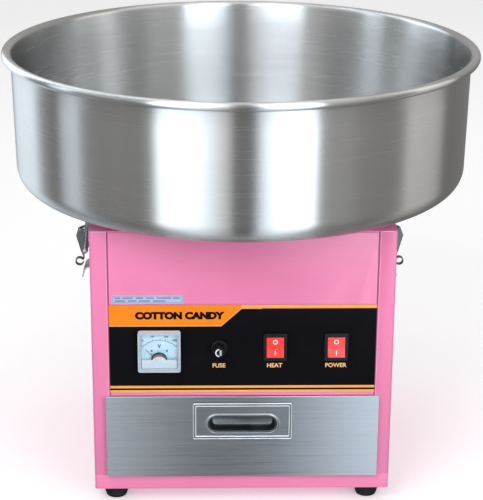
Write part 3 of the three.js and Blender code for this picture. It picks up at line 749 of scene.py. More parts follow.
def foot(node):
    """A moulded rubber foot with a skirt, grip rings and its fixing screw in the recess."""
    x, y = middle_of(node, "x", "y")
    top = span(node)[1]
    profile = [(0, 2.2), (4.2, 2.2), (4.6, 0.4), (5.2, 0), (9.8, 0), (10.8, 0.4), (11.4, 1.5)]
    for i in range(3):
        z = 3.0 + 2.2 * i
        r = 11.7 + 0.5 * i
        profile += [(r, z), (r + 0.45, z + 0.5), (r + 0.45, z + 1.2), (r + 0.15, z + 1.7)]
    profile += [(13.5, 9.8), (14.2, 13), (14.2, top - 0.8), (13.6, top), (0, top)]
    bm = lathe(bmesh.new(), profile, 48, centre=(x, y))
    piece("rubber_" + node, bm, "cabinet", "black_rubber", (node,), angle=50)
    piece("screw_in_" + node, screw(bmesh.new(), (x, y, 2.25), (0, 0, -1), 3.6, 1.5), "cabinet", "zinc_steel")


cabinet_fold_highlights_and_gap_shadows()
cabinet_screws()
louvre_hoods()
pan_embossing()
for depth in ("front", "back"):
    for side in ("left", "right"):
        foot(f"foot_{depth}_{side}")

# ---------- printed control film

SKIN = 0.07  # how far each printed layer stands from the one under it


def printed(name, outline, layer, color):
    """A flat printed shape on the control film."""
    y = DECAL_FACE - SKIN * layer
    bm = extrude(bmesh.new(), outline, y, y + SKIN * 0.9)
    piece(name, bm, "cabinet", "decal_film", look=color)


def control_print():
    left, right = DECAL_LOW.x, DECAL_HIGH.x
    bottom, top = DECAL_LOW.z, DECAL_HIGH.z
    printed("print_base_stripe", rectangle(left, right, bottom, bottom + 2.8), 1, "pale_orange")
    printed("print_second_stripe", rectangle(left, right, bottom + 5, bottom + 7.8), 1, "pale_orange")
    z = top - 23
    title = [(left, z), (-22.6, z), (-2, top - 4), (-2, top), (left, top)]
    printed("print_title_block", title, 1, "orange")
    printed("print_top_stripe", rectangle(-2, right, top - 3.9, top), 1, "pale_orange")
    edge = [(left, z - 0.6), (-23, z - 0.6), (-1.6, top - 3.9), (20, top - 3.9)]
    printed("print_title_edge", strip(edge, 1.1), 2, "pale_orange")
    y = DECAL_FACE - SKIN * 1.4
    lettering("title", "COTTON CANDY", 8.6, -66.4, 219.6, y, "decal_film", "black", 0.75, 1.12)
    y = DECAL_FACE - SKIN * 0.4
    for words, x in (("FUSE", -25.2), ("HEAT", 34), ("POWER", 99.2)):
        name = "caption_" + words.lower()
        lettering(name, words, 4.9, x, 162.6, y, "decal_film", "caption", 0.26)


def note_label():
    """A pale-blue paper label above the film, with ruled lines in place of small print."""
    x0, x1, z0, z1 = -137.4, -62.8, 232.9, 242.4
    low, high = FACE - 0.2, FACE - 0.15

    def inset(margin, radius):
        return rounded_rectangle(x0 + margin, x1 - margin, z0 + margin, z1 - margin, radius)

    bm = extrude(bmesh.new(), inset(0, 0.8), FACE - 0.16, FACE - 0.01)
    piece("note_label", bm, "cabinet", "decal_film", look="blue_label")
    bm = framed(bmesh.new(), inset(0.9, 0.5), inset(1.2, 0.4), low, high)
    first_row = ((3, 9), (11, 22), (25, 33), (36, 44), (47, 62), (64, 71))
    second_row = ((3, 14), (17, 26), (28, 40), (43, 56))
    for z, spans in ((239.2, first_row), (235.9, second_row)):
        for start, end in spans:
            block(bm, (x0 + start, low, z - 0.55), (x0 + end, high, z + 0.55))
    piece("note_label_lines", bm, "cabinet", "decal_film", look="label_grey")


control_print()
note_label()

# ---------- voltmeter

CASE_LOW, CASE_HIGH = low_high("voltmeter_case")
METER_X, METER_Z = middle_of("voltmeter_case", "x", "z")
DIAL_LOW, DIAL_HIGH = low_high("voltmeter_dial")


def joint_place(name):
    """A joint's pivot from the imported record, in millimetres."""
    joint = next(j for j in frame["joints"] if j["name"] == name)
    return Vector(joint["pos_m"]) / MM


PIVOT = joint_place("meter_swing")


def meter_case():
    front, back = CASE_LOW.y, DECAL_FACE - 0.3
    half = CASE_HIGH.x - METER_X

    def square(size, radius):
        return rounded_rectangle(METER_X - size, METER_X + size, METER_Z - size, METER_Z + size, radius)

    bm = framed(bmesh.new(), square(half, 2.4), square(21, 0.8), front, front + 1.8)
    framed(bm, square(half, 2.4), square(19.3, 0.6), front + 1.8, back)
    block(bm, (METER_X - 19.4, back - 1.2, METER_Z - 19.4), (METER_X + 19.4, back, METER_Z + 19.4))
    framed(bm, square(half - 2.2, 1.6), square(half - 2.8, 1.4), front - 0.25, front + 0.1)
    barrel = [(0, back), (19, back), (19, back + 30), (17.5, back + 32), (0, back + 32)]
    lathe(bm, barrel, 64, "y", (METER_X, METER_Z))
    for x in (METER_X - 10, METER_X + 10):
        rod(bm, 2, back + 32, back + 40, 16, "y", (x, METER_Z))
    piece("meter_case", bm, "cabinet", "meter_case", ("voltmeter_case",), bevel=0.35)
    bm = framed(bmesh.new(), square(20.9, 0.8), square(19.4, 0.6), front + 1.7, front + 1.9)
    piece("meter_window_margin", bm, "cabinet", "meter_dial")


def meter_card():
    """The dial: card, scale arc with ticks, figures, V mark and two rivets."""
    low, high = DIAL_LOW, DIAL_HIGH
    bm = extrude(bmesh.new(), rounded_rectangle(low.x, high.x, low.z, high.z, 1), low.y, high.y)
    piece("meter_card", bm, "cabinet", "meter_dial", ("voltmeter_dial",), bevel=0.1)
    y = low.y
    radius = 24.6
    outer = arc(PIVOT.x, PIVOT.z, radius + 0.2, 135, 45, 36)
    inner = arc(PIVOT.x, PIVOT.z, radius - 0.2, 45, 135, 36)
    bm = extrude(bmesh.new(), outer + inner, y - 0.06, y - 0.01)
    for i in range(31):
        length, thickness = (1.9, 0.5) if i % 10 == 0 else (1.5, 0.3) if i % 5 == 0 else (0.9, 0.16)
        tick = [polar(PIVOT.x, PIVOT.z, r, 135 - 3 * i) for r in (radius, radius + length)]
        extrude(bm, strip(tick, thickness), y - 0.07, y - 0.01)
    rivet = [(0, y - 0.3), (0.9, y - 0.25), (1.05, y - 0.01), (0, y - 0.01)]
    for x in (-8, 8):
        lathe(bm, rivet, 20, "y", (METER_X + x, METER_Z))
    piece("meter_scale", bm, "cabinet", "meter_dial", look="black")
    y -= 0.01
    for figure, x, z in (("0", -17.4, 24.2), ("100", -7.2, 29), ("200", 7.2, 29), ("300", 16.2, 24.6)):
        place = (PIVOT.x + x, PIVOT.z + z, y)
        lettering("meter_figure_" + figure, figure, 2.4, *place, "meter_dial", "black", 0.15)
    lettering("meter_unit", "V", 4.2, METER_X, METER_Z + 5.6, y, "meter_dial", "black", 0.3)


def meter_front():
    """The lower frosted cover with its pivot dome and zero screw, and the clear window."""
    low, high = low_high("voltmeter_window")
    face = high.y + 0.25
    middle = METER_Z - 8.6
    left, right, bottom = DIAL_LOW.x + 0.3, DIAL_HIGH.x - 0.3, DIAL_LOW.z + 0.3
    outline = [(left, bottom), (right, bottom), (right, middle), *arc(METER_X, middle, 8.2, 0, 180, 24)]
    bm = extrude(bmesh.new(), [*outline, (left, middle)], face + 0.05, face + 0.9)
    piece("meter_frosted_cover", bm, "cabinet", "meter_case", look="frost", bevel=0.2)
    outline = arc(METER_X, middle, 8.5, 0, 180, 28) + arc(METER_X, middle - 0.6, 7.6, 176, 4, 28)
    bm = extrude(bmesh.new(), outline, face - 0.1, face + 0.4)
    piece("meter_cover_rim", bm, "cabinet", "black_plastic")
    outline = arc(METER_X, middle - 0.6, 7.5, 4, 176, 28) + arc(METER_X, middle - 4, 8, 150, 30, 20)
    bm = extrude(bmesh.new(), outline, face - 0.05, face + 0.3)
    piece("meter_pivot_cover", bm, "cabinet", "meter_case", look="smoke")
    bm = screw(bmesh.new(), (METER_X, face - 0.1, METER_Z - 8.2), (0, -1, 0), 1.5, 0.3)
    piece("meter_zero_screw", bm, "cabinet", "zinc_steel", look="white")
    bm = extrude(bmesh.new(), rounded_rectangle(low.x, high.x, low.z, high.z, 0.9), low.y, high.y)
    piece("meter_clear_front", bm, "cabinet", "meter_window", ("voltmeter_window",), bevel=0.2)


def needle():
    """A tapered pointer with its counterweight, leaning 45 degrees left at zero."""
    low, high = low_high("meter_needle")
    middle = (low.y + high.y) / 2
    outline = [(-0.5, -5), (0.5, -5), (0.35, 0), (0.16, 21), (-0.16, 21), (-0.35, 0)]
    lean = math.sqrt(0.5)
    leaning = [(PIVOT.x + (a - b) * lean, PIVOT.z + (a + b) * lean) for a, b in outline]
    bm = extrude(bmesh.new(), leaning, middle - 0.2, middle + 0.1)
    hub = [(0, middle - 0.7), (1.6, middle - 0.6), (2.1, middle), (2.1, middle + 0.7), (0, middle + 0.7)]
    lathe(bm, hub, 32, "y", (PIVOT.x, PIVOT.z))
    piece("needle_pointer", bm, "meter_needle", "needle_paint", ("meter_needle",))


meter_case()
meter_card()
meter_front()
needle()

# ---------- fuse holder

FLANGE, HOLDER_BACK = span("fuse_holder", "y")
FUSE = middle_of("fuse_holder", "x", "z")


def fuse_body():
    """The holder: flange, threaded barrel and end plug, with its panel nut."""
    flange, back = FLANGE, HOLDER_BACK
    profile = [(4.3, flange), (8.2, flange), (8.75, flange + 0.6), (8.75, flange + 2), (6.2, flange + 2)]
    y = flange + 4
    while y < back - 14:
        profile += [(6.2, y), (5.8, y + 0.4), (6.2, y + 0.8)]
        y += 0.9
    profile += [(5.6, back - 12), (5.6, back), (4.3, back)]
    bm = lathe(bmesh.new(), profile, 48, "y", FUSE, closed=True)
    rod(bm, 4.4, back - 2, back - 0.2, 32, "y", FUSE)
    piece("fuse_body", bm, "cabinet", "black_plastic", ("fuse_holder",), angle=30)
    bm = framed(bmesh.new(), circle(*FUSE, 9.4, 24), circle(*FUSE, 6.3, 24), FACE + 1.8, FACE + 4.6)
    piece("fuse_panel_nut", bm, "cabinet", "zinc_steel", bevel=0.3, segments=2)


def fuse_knob():
    """The ribbed cap with its insert, slot and pale mark."""
    front, back = span("fuse_cap", "y")
    knob_back, plug = FLANGE - 0.3, FLANGE + 1
    profile = [(0, plug), (2.9, plug), (2.9, back), (3.9, back), (3.9, knob_back), (0, knob_back)]
    bm = lathe(bmesh.new(), profile, 40, "y", FUSE)
    profile = [(0, knob_back), (6.5, knob_back), (6.4, front + 4), (5.9, front + 2.2), (5.1, front + 0.6)]
    lathe(bm, [*profile, (4.4, front), (0, front)], 48, "y", FUSE)
    rib = [(0, front + 3.6), (0.42, front + 3.8), (0.5, knob_back - 0.1), (0, knob_back - 0.1)]
    for centre in circle(*FUSE, 6.25, 18):
        lathe(bm, rib, 8, "y", centre)
    piece("fuse_knob", bm, "fuse_cap", "black_plastic", ("fuse_cap",), angle=35)
    profile = [(0, front - 0.1), (2.9, front - 0.1), (3.4, front + 0.25), (3.4, front + 0.6)]
    bm = lathe(bmesh.new(), [*profile, (0, front + 0.6)], 36, "y", FUSE)
    piece("fuse_knob_insert", bm, "fuse_cap", "black_plastic")
    x, z = FUSE
    bm = block(bmesh.new(), (x + 0.2, front - 0.2, z - 3), (x + 2.2, front - 0.08, z + 3))
    piece("fuse_knob_slot", bm, "fuse_cap", "zinc_steel", look="blue_label")
    crescent = arc(*FUSE, 4.5, 95, 268, 16) + arc(*FUSE, 3.3, 268, 95, 16)
    bm = extrude(bmesh.new(), crescent, front - 0.12, front + 0.3)
    piece("fuse_knob_mark", bm, "fuse_cap", "zinc_steel", look="white")


def fuse_link():
    """The glass fuse: a tube, two end caps and the wire between them."""
    low, high = span("fuse_link", "y")
    ends = bmesh.new()
    for y0, y1 in ((low, low + 5), (high - 5, high)):
        lathe(ends, both_halves([(0, y0), (2.3, y0), (2.5, y0 + 0.3)], y0, y1), 32, "y", FUSE)
    tube(ends, [(FUSE[0], low + 4, FUSE[1]), (FUSE[0], high - 4, FUSE[1])], 0.15, 8)
    piece("fuse_ends_and_wire", ends, "fuse_carrier", "zinc_steel")
    bm = rod(bmesh.new(), 2.35, low + 1, high - 1, 32, "y", FUSE)
    piece("fuse_glass_tube", bm, "fuse_carrier", "fuse_glass", ("fuse_link",))


fuse_body()
fuse_knob()
fuse_link()

# ---------- rocker switches


def switch_frame(use):
    """A snap-in frame with a stepped lip, and its three terminals behind."""
    node = use + "_switch_frame"
    x, z = middle_of(node, "x", "z")
    front, back = span(node, "y")
    seat = DECAL_FACE - 0.3

    def box(half_x, half_z, radius):
        return rounded_rectangle(x - half_x, x + half_x, z - half_z, z + half_z, radius)

    bm = framed(bmesh.new(), box(12.5, 15.5, 1.8), box(9.6, 11.8, 0.7), front, seat)
    framed(bm, box(11, 13.6, 1), box(9.9, 12.1, 0.8), front - 0.35, front + 0.1)
    framed(bm, box(10.8, 13.8, 0.6), box(9.6, 11.8, 0.7), seat, back - 4)
    block(bm, (x - 10.8, back - 4, z - 13.8), (x + 10.8, back, z + 13.8))
    piece(use + "_switch_bezel", bm, "cabinet", "black_plastic", (node,), bevel=0.35)
    tabs = bmesh.new()
    for up in (-6, 0, 6):
        block(tabs, (x - 2.4, back, z + up - 0.4), (x + 2.4, back + 7, z + up + 0.4))
    piece(use + "_switch_tabs", tabs, "cabinet", "copper_alloy", bevel=0.15, segments=2)


def rocker(use):
    """A V-faced key marked with a ring above and a bar below, tilted as at rest."""
    radius, edge, middle = 11.3, 3.0, 1.5
    front_angle = math.degrees(math.asin(edge / radius))
    reach = radius * math.cos(math.radians(front_angle))
    slope = math.atan2(edge - middle, reach)

    def half_face(way):
        return [(-middle - (edge - middle) * t / 6, way * reach * t / 6) for t in range(1, 6)]

    outline = [(-middle, 0), *half_face(1), *arc(0, 0, radius, 90 + front_angle, 45, 12)]
    outline += arc(0, 0, radius, -45, -90 - front_angle, 12) + half_face(-1)[::-1]
    key = extrude(bmesh.new(), outline, -9.25, 9.25, "x")
    ring = sleeve(bmesh.new(), 1.6, 2.6, -0.08, 0.1, 40, "y")
    bar = block(bmesh.new(), (-0.45, -0.08, -2.5), (0.45, 0.1, 2.5))
    marks = bmesh.new()
    for mark, up in ((ring, 6), (bar, -6)):
        place = Matrix.Translation((0, -middle - abs(up) * math.tan(slope), up))
        merge(marks, mark, place @ Matrix.Rotation(math.copysign(slope, up), 4, "X"))
    lay = Matrix.Translation(joint_place(use + "_switch")) @ turned(-9, "X")
    for part in (key, marks):
        bmesh.ops.transform(part, matrix=lay, verts=part.verts)
    body = use + "_rocker"
    piece(use + "_rocker_key", key, body, "rocker_red", (use + "_rocker",), bevel=0.45, angle=30)
    piece(use + "_rocker_marks", marks, body, "rocker_red", look="white")


for use in ("heat", "power"):
    switch_frame(use)
    rocker(use)

# ---------- drawer


def stadium(margin, half_width=37.0, z0=86.7, z1=105.8, steps=16):
    """The handle recess's outline, grown by a margin."""
    radius = (z1 - z0) / 2 + margin
    middle = (z0 + z1) / 2
    straight = half_width + margin - radius
    return arc(straight, middle, radius, -90, 90, steps) + arc(-straight, middle, radius, 90, 270, steps)


def drawer_face():
    """The folded front, open behind, with the handle's slot through it."""
    x1, z0, z1 = DRAWER_HIGH.x, DRAWER_LOW.z, DRAWER_HIGH.z
    front, back = DRAWER_LOW.y, DRAWER_HIGH.y
    face = rounded_rectangle(-x1, x1, z0, z1, 0.9, 6)
    bm = holed(bmesh.new(), face, stadium(3.2), front, front + 1.2)
    inner = rounded_rectangle(-x1 + 1.2, x1 - 1.2, z0 + 1.2, z1 - 1.2, 0.5, 6)
    framed(bm, face, inner, front + 1.2, back)
    piece("drawer_face", bm, "drawer", "drawer_steel", ("drawer_front",), bevel=0.55)


def handle():
    """A pressed pull: raised border, flat field, rolled lip round the recess and a smooth cup."""
    low, high = low_high("drawer_handle")
    face = low.y

    def rings(bm, outline, steps):
        loops = [loop(bm, outline(margin), face + depth, "y") for margin, depth in steps]
        walls(bm, *loops)
        return loops

    def border(inset):
        radius = max(2.0 - inset * 0.3, 0.6)
        return rounded_rectangle(-high.x + inset, high.x - inset, low.z + inset, high.z - inset, radius, 6)

    def pressed(name, bm, metal, replaced=()):
        shell = piece(name, bm, "drawer", "handle_chrome", replaced, metal, angle=50)
        gauge = shell.modifiers.new("gauge", "SOLIDIFY")
        gauge.thickness = 0.8 * MM
        gauge.offset = -1

    plate = bmesh.new()
    edge = ((0, 1.5), (0, 0.8), (0.2, 0.35), (0.55, 0.08), (0.9, 0), (3.0, 0), (3.4, 0.12), (3.7, 0.5))
    field = rings(plate, border, (*edge, (4.0, 0.85), (4.5, 0.95), (4.9, 0.95)))[-1]
    lip = ((3.6, 0.95), (3.2, 0.95), (2.5, 0.8), (1.9, 0.35), (1.3, 0.05), (0.7, 0.05), (0.2, 0.4))
    fill_between(plate, field, rings(plate, stadium, (*lip, (-0.15, 1.2)))[0])
    pressed("drawer_pull", plate, "handle_chrome", ("drawer_handle",))
    # the cup wears a far darker steel than the pull: painted shade in the recess
    cup = bmesh.new()
    wall = ((-0.15, 1.2), (-0.4, 3), (-0.8, 8), (-1.6, 11.5), (-3.0, 13.6), (-5.0, 14.8))
    deepest = high.y - 1.2 - face
    cup.faces.new(rings(cup, stadium, [(margin, min(depth, deepest)) for margin, depth in wall])[-1])
    pressed("drawer_pull_cup", cup, "pull_cup_painted_shade")
    # two round ridges on the border in steel far lighter than the pull: painted highlight of the border's
    # edges
    ridge_highlights = bmesh.new()
    for inset, depth in ((0.8, 0.2), (3.5, 0.3)):
        path = [(a, face + depth, b) for a, b in border(inset)]
        tube(ridge_highlights, [*path, *path[:2]], 0.42, 10)
    piece("drawer_pull_ridge_highlights", ridge_highlights, "drawer", "handle_chrome", look="pull_border_painted_highlight")


def drawer_fittings():
    """The tray's rolled rims and its rivets to the front."""
    low, high = low_high("drawer_tray")
    left, right, back, top = low.x + 0.6, high.x - 0.6, high.y - 0.6, high.z
    bm = bmesh.new()
    for x in (left, right):
        tube(bm, [(x, low.y + 1, top), (x, high.y - 1, top)], 1.3, 14)
    tube(bm, [(left, back, top), (right, back, top)], 1.3, 14)
    piece("tray_rims", bm, "drawer", "drawer_steel")
    bm = bmesh.new()
    for x in (-120, -80, 80, 120):
        for z in (50, 104):
            screw(bm, (x, low.y + 1.2, z), (0, 1, 0), 2.6, 1.1)
    piece("tray_rivets", bm, "drawer", "zinc_steel")


drawer_face()
handle()
drawer_fittings()

# ---------- bowl


def bowl_shell():
    """The spun bowl: rolled outer bead, slightly tapered wall, round corner and a turned-up centre hole."""
    low, high = low_high("bowl")
    rim, bottom, radius = high.z, low.z, high.x
    bead, sheet, corner = 4.6, 1.2, 22.9
    wall_top, wall_bottom, hole = radius - 9.8, radius - 12.1, 63
    cx, cz = wall_bottom - corner, bottom + corner

    def wall(inset, top, parts):
        """Points up the tapered wall, at fifths of the way from the corner to the top."""
        r, taper = wall_bottom - inset, wall_top - wall_bottom
        return [(r + taper * part / 5, cz + (top - cz) * part / 5) for part in parts]

    profile = [(hole + 3, bottom), (150, bottom), *arc(cx, cz, corner, -90, 0, 18)]
    profile += wall(0, rim - 2 * bead, (1, 2, 3, 4)) + [(wall_top, rim - 2 * bead - 1.0)]
    profile += arc(radius - bead, rim - bead, bead, -158, 128, 22)
    inside = wall_top - sheet
    profile += [(wall_top + 0.2, rim - 1.9), (inside + 0.5, rim - 3.4), (inside, rim - 6)]
    profile += wall(sheet, rim - 12, (4, 3, 2, 1)) + arc(cx, cz, corner - sheet, 0, -90, 18)
    profile += [(150, bottom + sheet), (hole + 4.5, bottom + sheet)]
    profile += arc(hole + 4.5, bottom + sheet + 3.3, 3.3, -90, -180, 6)
    profile += [(hole + sheet, 336.6), (hole + 0.9, 337.8), (hole + 0.3, 338), (hole, 337.4)]
    profile += arc(hole + 4.5, bottom + 4.5, 4.5, 180, 270, 6)[:-1]
    bm = lathe(bmesh.new(), profile, 256, closed=True)
    piece("bowl_shell", bm, "bowl", "bowl_steel", ("bowl",), angle=60)


def bowl_seat():
    """A rubber ring with a stepped lip that the bowl sits on."""
    low, high = span("bowl_seat")
    profile = [(86, low), (106, low), (106, low + 3), (104.6, low + 4), (104.6, high - 1.2), (103.4, high)]
    profile += [(97, high), (96, high - 1), (95, high), (88, high), (86.6, high - 1)]
    bm = lathe(bmesh.new(), profile, 96, closed=True)
    piece("bowl_seat_ring", bm, "cabinet", "black_rubber", ("bowl_seat",))


def catch(side):
    """A pressed J catch with a rounded trough, spot-welded under the bowl."""
    node = "bowl_catch_" + side
    low, high = low_high(node)
    x, z0, z1 = low.x if side == "right" else -high.x, low.z, high.z
    line = [(x + 19, z1 - 0.8), (x + 3.4, z1 - 0.8), *arc(x + 3.4, z1 - 3.4, 2.6, 100, 175, 5)]
    line += [(x + 0.9, z0 + 5), *arc(x + 5.2, z0 + 5.1, 4.3, 185, 355, 12), (x + 9.5, z0 + 6.4)]
    bm = extrude(bmesh.new(), strip(line, 1.5), -7, 7)
    for y in (-3.5, 3.5):
        weld = [(0, z1 - 1.8), (1.8, z1 - 1.8), (1.3, z1 - 2.6), (0, z1 - 2.8)]
        lathe(bm, weld, 20, centre=(x + 13, y))
    piece("catch_" + side, on_side(bm, side), "bowl", "zinc_steel", (node,), bevel=0.3)


bowl_shell()
bowl_seat()

# ---------- latches

LATCH_PIVOT = (HALF + 19.5, 258.5)
BAIL_PIVOT = (HALF + 15.5, 240.0)
BAIL_BAR = (HALF + 8.5, 304.1)
CURL = (HALF + 22.5, 223.3)


def beside(*points):
    """Outline points measured out from the cabinet's right side."""
    return [(HALF + x, z) for x, z in points]


def latch_plate(side):
    """The base plate with its flared foot, the lever's ears and eight rivets."""
    line = beside((1.05, 285), (1.05, 227), (2.8, 224), (8, 221.5), (14.2, 219.7), (16.2, 217.6))
    line += beside((18.8, 208.6))
    bm = extrude(bmesh.new(), strip(line, 1.4), -15, 15)
    ear = beside((1, 249), (19.5, 253.7)) + arc(*LATCH_PIVOT, 4.8, -88, 88, 12)
    ear += beside((12, 267), (6, 276), (1, 279))
    for y in (-5.5, 4):
        extrude(bm, ear, y, y + 1.5)
    rivet = [(0, HALF + 3.0), (1.6, HALF + 2.8), (2.5, HALF + 2.2), (2.7, HALF + 1.6), (0, HALF + 1.6)]
    for z in (232, 242, 272, 281):
        for y in (-11, 11):
            lathe(bm, rivet, 20, "x", (y, z))
    replaced = ("latch_base_" + side,)
    piece("latch_plate_" + side, on_side(bm, side), "cabinet", "zinc_steel", replaced, bevel=0.25, segments=2)


def latch_handle(side):
    """The channel lever, its rolled finger end and its pivot pins."""
    line = beside((24.85, 256.2), (22.6, 248), (20, 238.6), (17.9, 230.6), (17.6, 226.5))
    bm = extrude(bmesh.new(), strip(line + arc(*CURL, 4.35, 150, -165, 26), 1.1), -7.7, 7.7)
    for v in bm.verts:
        narrowing = min(max((234.4 - v.co.z) / 5.8, 0), 1)
        v.co.y *= 1 - 0.61 * narrowing
    web = beside((25.3, 255.8), (23.5, 261.2), (19.5, 263.4), (15.7, 262.3), (14.5, 254))
    web += beside((12.2, 243), (12.1, 237.6), (14.6, 234.9), (19.2, 234.9))
    for y in (-7.7, 6.6):
        extrude(bm, web, y, y + 1.1)
    for y in (-8.6, 3.7):
        rod(bm, 2, y, y + 4.9, 24, "y", LATCH_PIVOT)
    body = "latch_lever_" + side
    name = "latch_handle_" + side
    # the lever wears a much darker steel than its zinc slot: painted shade
    piece(name, on_side(bm, side), body, "zinc_steel", (body,), "lever_painted_shade", bevel=0.22, segments=2)


def latch_loop(side):
    """The bail: a bent wire loop through a cross pin, with a coil spring and nut on each leg."""
    pin, bar = (Vector((x, 0, z)) for x, z in (BAIL_PIVOT, BAIL_BAR))

    def at(t, y):
        point = pin.lerp(bar, t)
        return point.x, y, point.z

    path = [at(-0.06, -11), at(0.5, -11), at(0.93, -11)]
    path += [at(0.93 + 0.07 * math.sin(a), -11 + 4 * (1 - math.cos(a))) for a in (0.5, 1.0, 1.57)]
    path += [(x, -y, z) for x, y, z in path[::-1]]
    bm = tube(bmesh.new(), path, 1.5, 16)
    lathe(bm, [(0, -13.6), (2, -13.4), (2, 13.4), (0, 13.6)], 24, "y", BAIL_PIVOT)
    springs = bmesh.new()
    for y in (-11, 11):
        tube(bm, [at(-0.05, y), at(-0.02, y)], 2.7, 6)
        tube(springs, helix(at(0.03, y), at(0.73, y), 2.5, 17, 20), 0.5, 8)
    body = "latch_bail_" + side
    piece("latch_loop_" + side, on_side(bm, side), body, "zinc_steel", (body,))
    piece("latch_springs_" + side, on_side(springs, side), body, "zinc_steel")


for side in ("left", "right"):
    catch(side)
    latch_plate(side)
    latch_handle(side)
    latch_loop(side)

# ---------- spinner head

SPINDLE = (0, 0)
HEAD_LOW, HEAD_HIGH = low_high("head_base")
HEAD_RADIUS = HEAD_HIGH.x


def head_dish():
    r, z, top = HEAD_RADIUS, HEAD_LOW.z, HEAD_HIGH.z
    profile = [(6.3, z), (20, z), (22, z + 0.8), (44, z + 0.8), (46, z), (r - 4, z)]
    profile += arc(r - 4, z + 4, 4, -80, 0, 6)
    profile += [(r, top - 2.2), (r - 3.5, top - 2.2), (r - 4.5, z + 4), (14, z + 4), (12.6, z + 5.5)]
    bm = lathe(bmesh.new(), [*profile, (12, top), (6.3, top)], 96, closed=True)
    piece("head_dish", bm, "spinner", "cast_head", ("head_base",))


def slotted_band():
    """Two rims joined by 72 wedge-shaped bars."""
    low, high = low_high("screen_band")
    outer, inner = high.x, high.x - 1.4
    bm = bmesh.new()
    for z in (low.z, high.z - 2.2):
        sleeve(bm, inner, outer, z, z + 2.2, 96)
    for i in range(72):
        start, end = 5 * (i - 0.27), 5 * (i + 0.27)
        edges = ((inner, start), (outer, start), (outer, end), (inner, end))
        extrude(bm, [polar(0, 0, r, angle) for r, angle in edges], low.z + 2, high.z - 2, "z")
    piece("slotted_band", bm, "spinner", "cast_head", ("screen_band",))


def heater_coil():
    """Two turns of sheathed element on eight short posts."""
    low, high = low_high("heater_element")
    middle, radius = (low.z + high.z) / 2, high.x - 3.5
    bm = tube(bmesh.new(), helix((0, 0, low.z + 1.9), (0, 0, high.z - 1.9), radius, 2, 90), 1.55)
    for centre in circle(*SPINDLE, radius, 8):
        rod(bm, 1.4, middle - 8, middle - 2.6, 12, centre=centre)
    piece("heater_coil", bm, "spinner", "heater_alloy", ("heater_element",))


def head_cap():
    """The stepped cone with its sugar funnel and three screws."""
    low, high = low_high("head_cover")
    r, z, top = HEAD_RADIUS, low.z + 8.3, high.z
    profile = [(r - 3, z), (r - 0.6, z), (r, z + 0.8), (r, z + 2.2), (r - 1, z + 3.1)]
    for step in (50, 44, 38):
        fall = (step - 30) / 26 * 7
        profile += [(step + 0.6, top - fall - 0.2), (step, top - fall + 0.5)]
    profile += [(30.5, top - 0.3), (29.4, top), (27, top), (25.4, top - 0.9)]
    profile += [(17, 367), (17.1, 366.2), (18.4, 366), (27.6, 381)]
    bm = lathe(bmesh.new(), profile, 96, closed=True)
    for x, y in circle(*SPINDLE, 46, 3, math.degrees(0.4)):
        screw(bm, (x, y, top - 4.15), (0, 0, 1), 2.4, 1.3)
    piece("head_cap", bm, "spinner", "cast_head", ("head_cover",))


def head_hex_nut():
    low, high = span("head_nut")
    corners = [Vector(p) for p in circle(*SPINDLE, 10, 6)]
    sides = [corners[i // 8].lerp(corners[(i // 8 + 1) % 6], i % 8 / 8) for i in range(48)]
    bm = framed(bmesh.new(), sides, circle(*SPINDLE, 6.3, 48), low, high, "z")
    piece("head_hex_nut", bm, "spinner", "zinc_steel", ("head_nut",), bevel=0.4)


head_dish()
slotted_band()
heater_coil()
head_cap()
head_hex_nut()

# ---------- drive, bearings and slip rings

MOTOR = (0, 95)


def turned_piece(name, node, body, slot, profile, centre=SPINDLE, segments=72, closed=True):
    """A turned piece that replaces one node."""
    piece(name, lathe(bmesh.new(), profile, segments, centre=centre, closed=closed), body, slot, (node,))


def housing():
    """The spindle's flanged housing and its four screws."""
    low, high = low_high("bearing_housing")
    profile = [(14.3, low.z), (21, low.z), (22, low.z + 1), (22, TOP + 0.3), (38, TOP + 0.3), (38, TOP + 3.2)]
    profile += [(37.2, TOP + 4), (24, TOP + 4.4), (21, TOP + 6.5), (19.2, high.z - 2), (18.2, high.z)]
    turned_piece("spindle_housing", "bearing_housing", "cabinet", "cast_head", [*profile, (14.3, high.z)])
    bm = bmesh.new()
    for x, y in circle(*SPINDLE, 30.5, 4, 45):
        screw(bm, (x, y, TOP + 4.1), (0, 0, 1), 3)
    piece("housing_screws", bm, "cabinet", "zinc_steel")


def bearing(name):
    """Outer race, inner race and the shield between them."""
    low, high = span(name)
    race = both_halves([(11.6, low), (13.6, low), (14, low + 0.4)], low, high)
    bm = lathe(bmesh.new(), race, closed=True)
    sleeve(bm, 6.3, 8.6, low, high)
    sleeve(bm, 8.5, 11.7, low + 0.5, high - 0.5)
    piece(name + "_races", bm, "cabinet", "zinc_steel", (name,))


def spindle():
    low, high = span("spindle")
    thread = [(5.6 + 0.4 * (i % 2), 355 + i * 0.6) for i in range(14)]
    profile = [(2.5, low), (5.4, low), (6, low + 0.6), (6, 354), *thread, (5.5, high), (2.5, high)]
    turned_piece("hollow_spindle", "spindle", "spinner", "zinc_steel", profile)


def pulley(name, body, centre, bore, r):
    """A webbed, flanged pulley with a flat running face of radius r."""
    low, high = span(name)
    middle = (low + high) / 2
    half = [(bore, low), (r * 0.45, low), (r * 0.5, low + 2), (r * 0.85, low + 2), (r * 0.9, low)]
    half += [(r + 2.5, low), (r + 3, low + 0.5), (r + 3, middle - 5.5), (r, middle - 4.5)]
    turned_piece(name + "_turned", name, body, "cast_head", both_halves(half, low, high), centre)


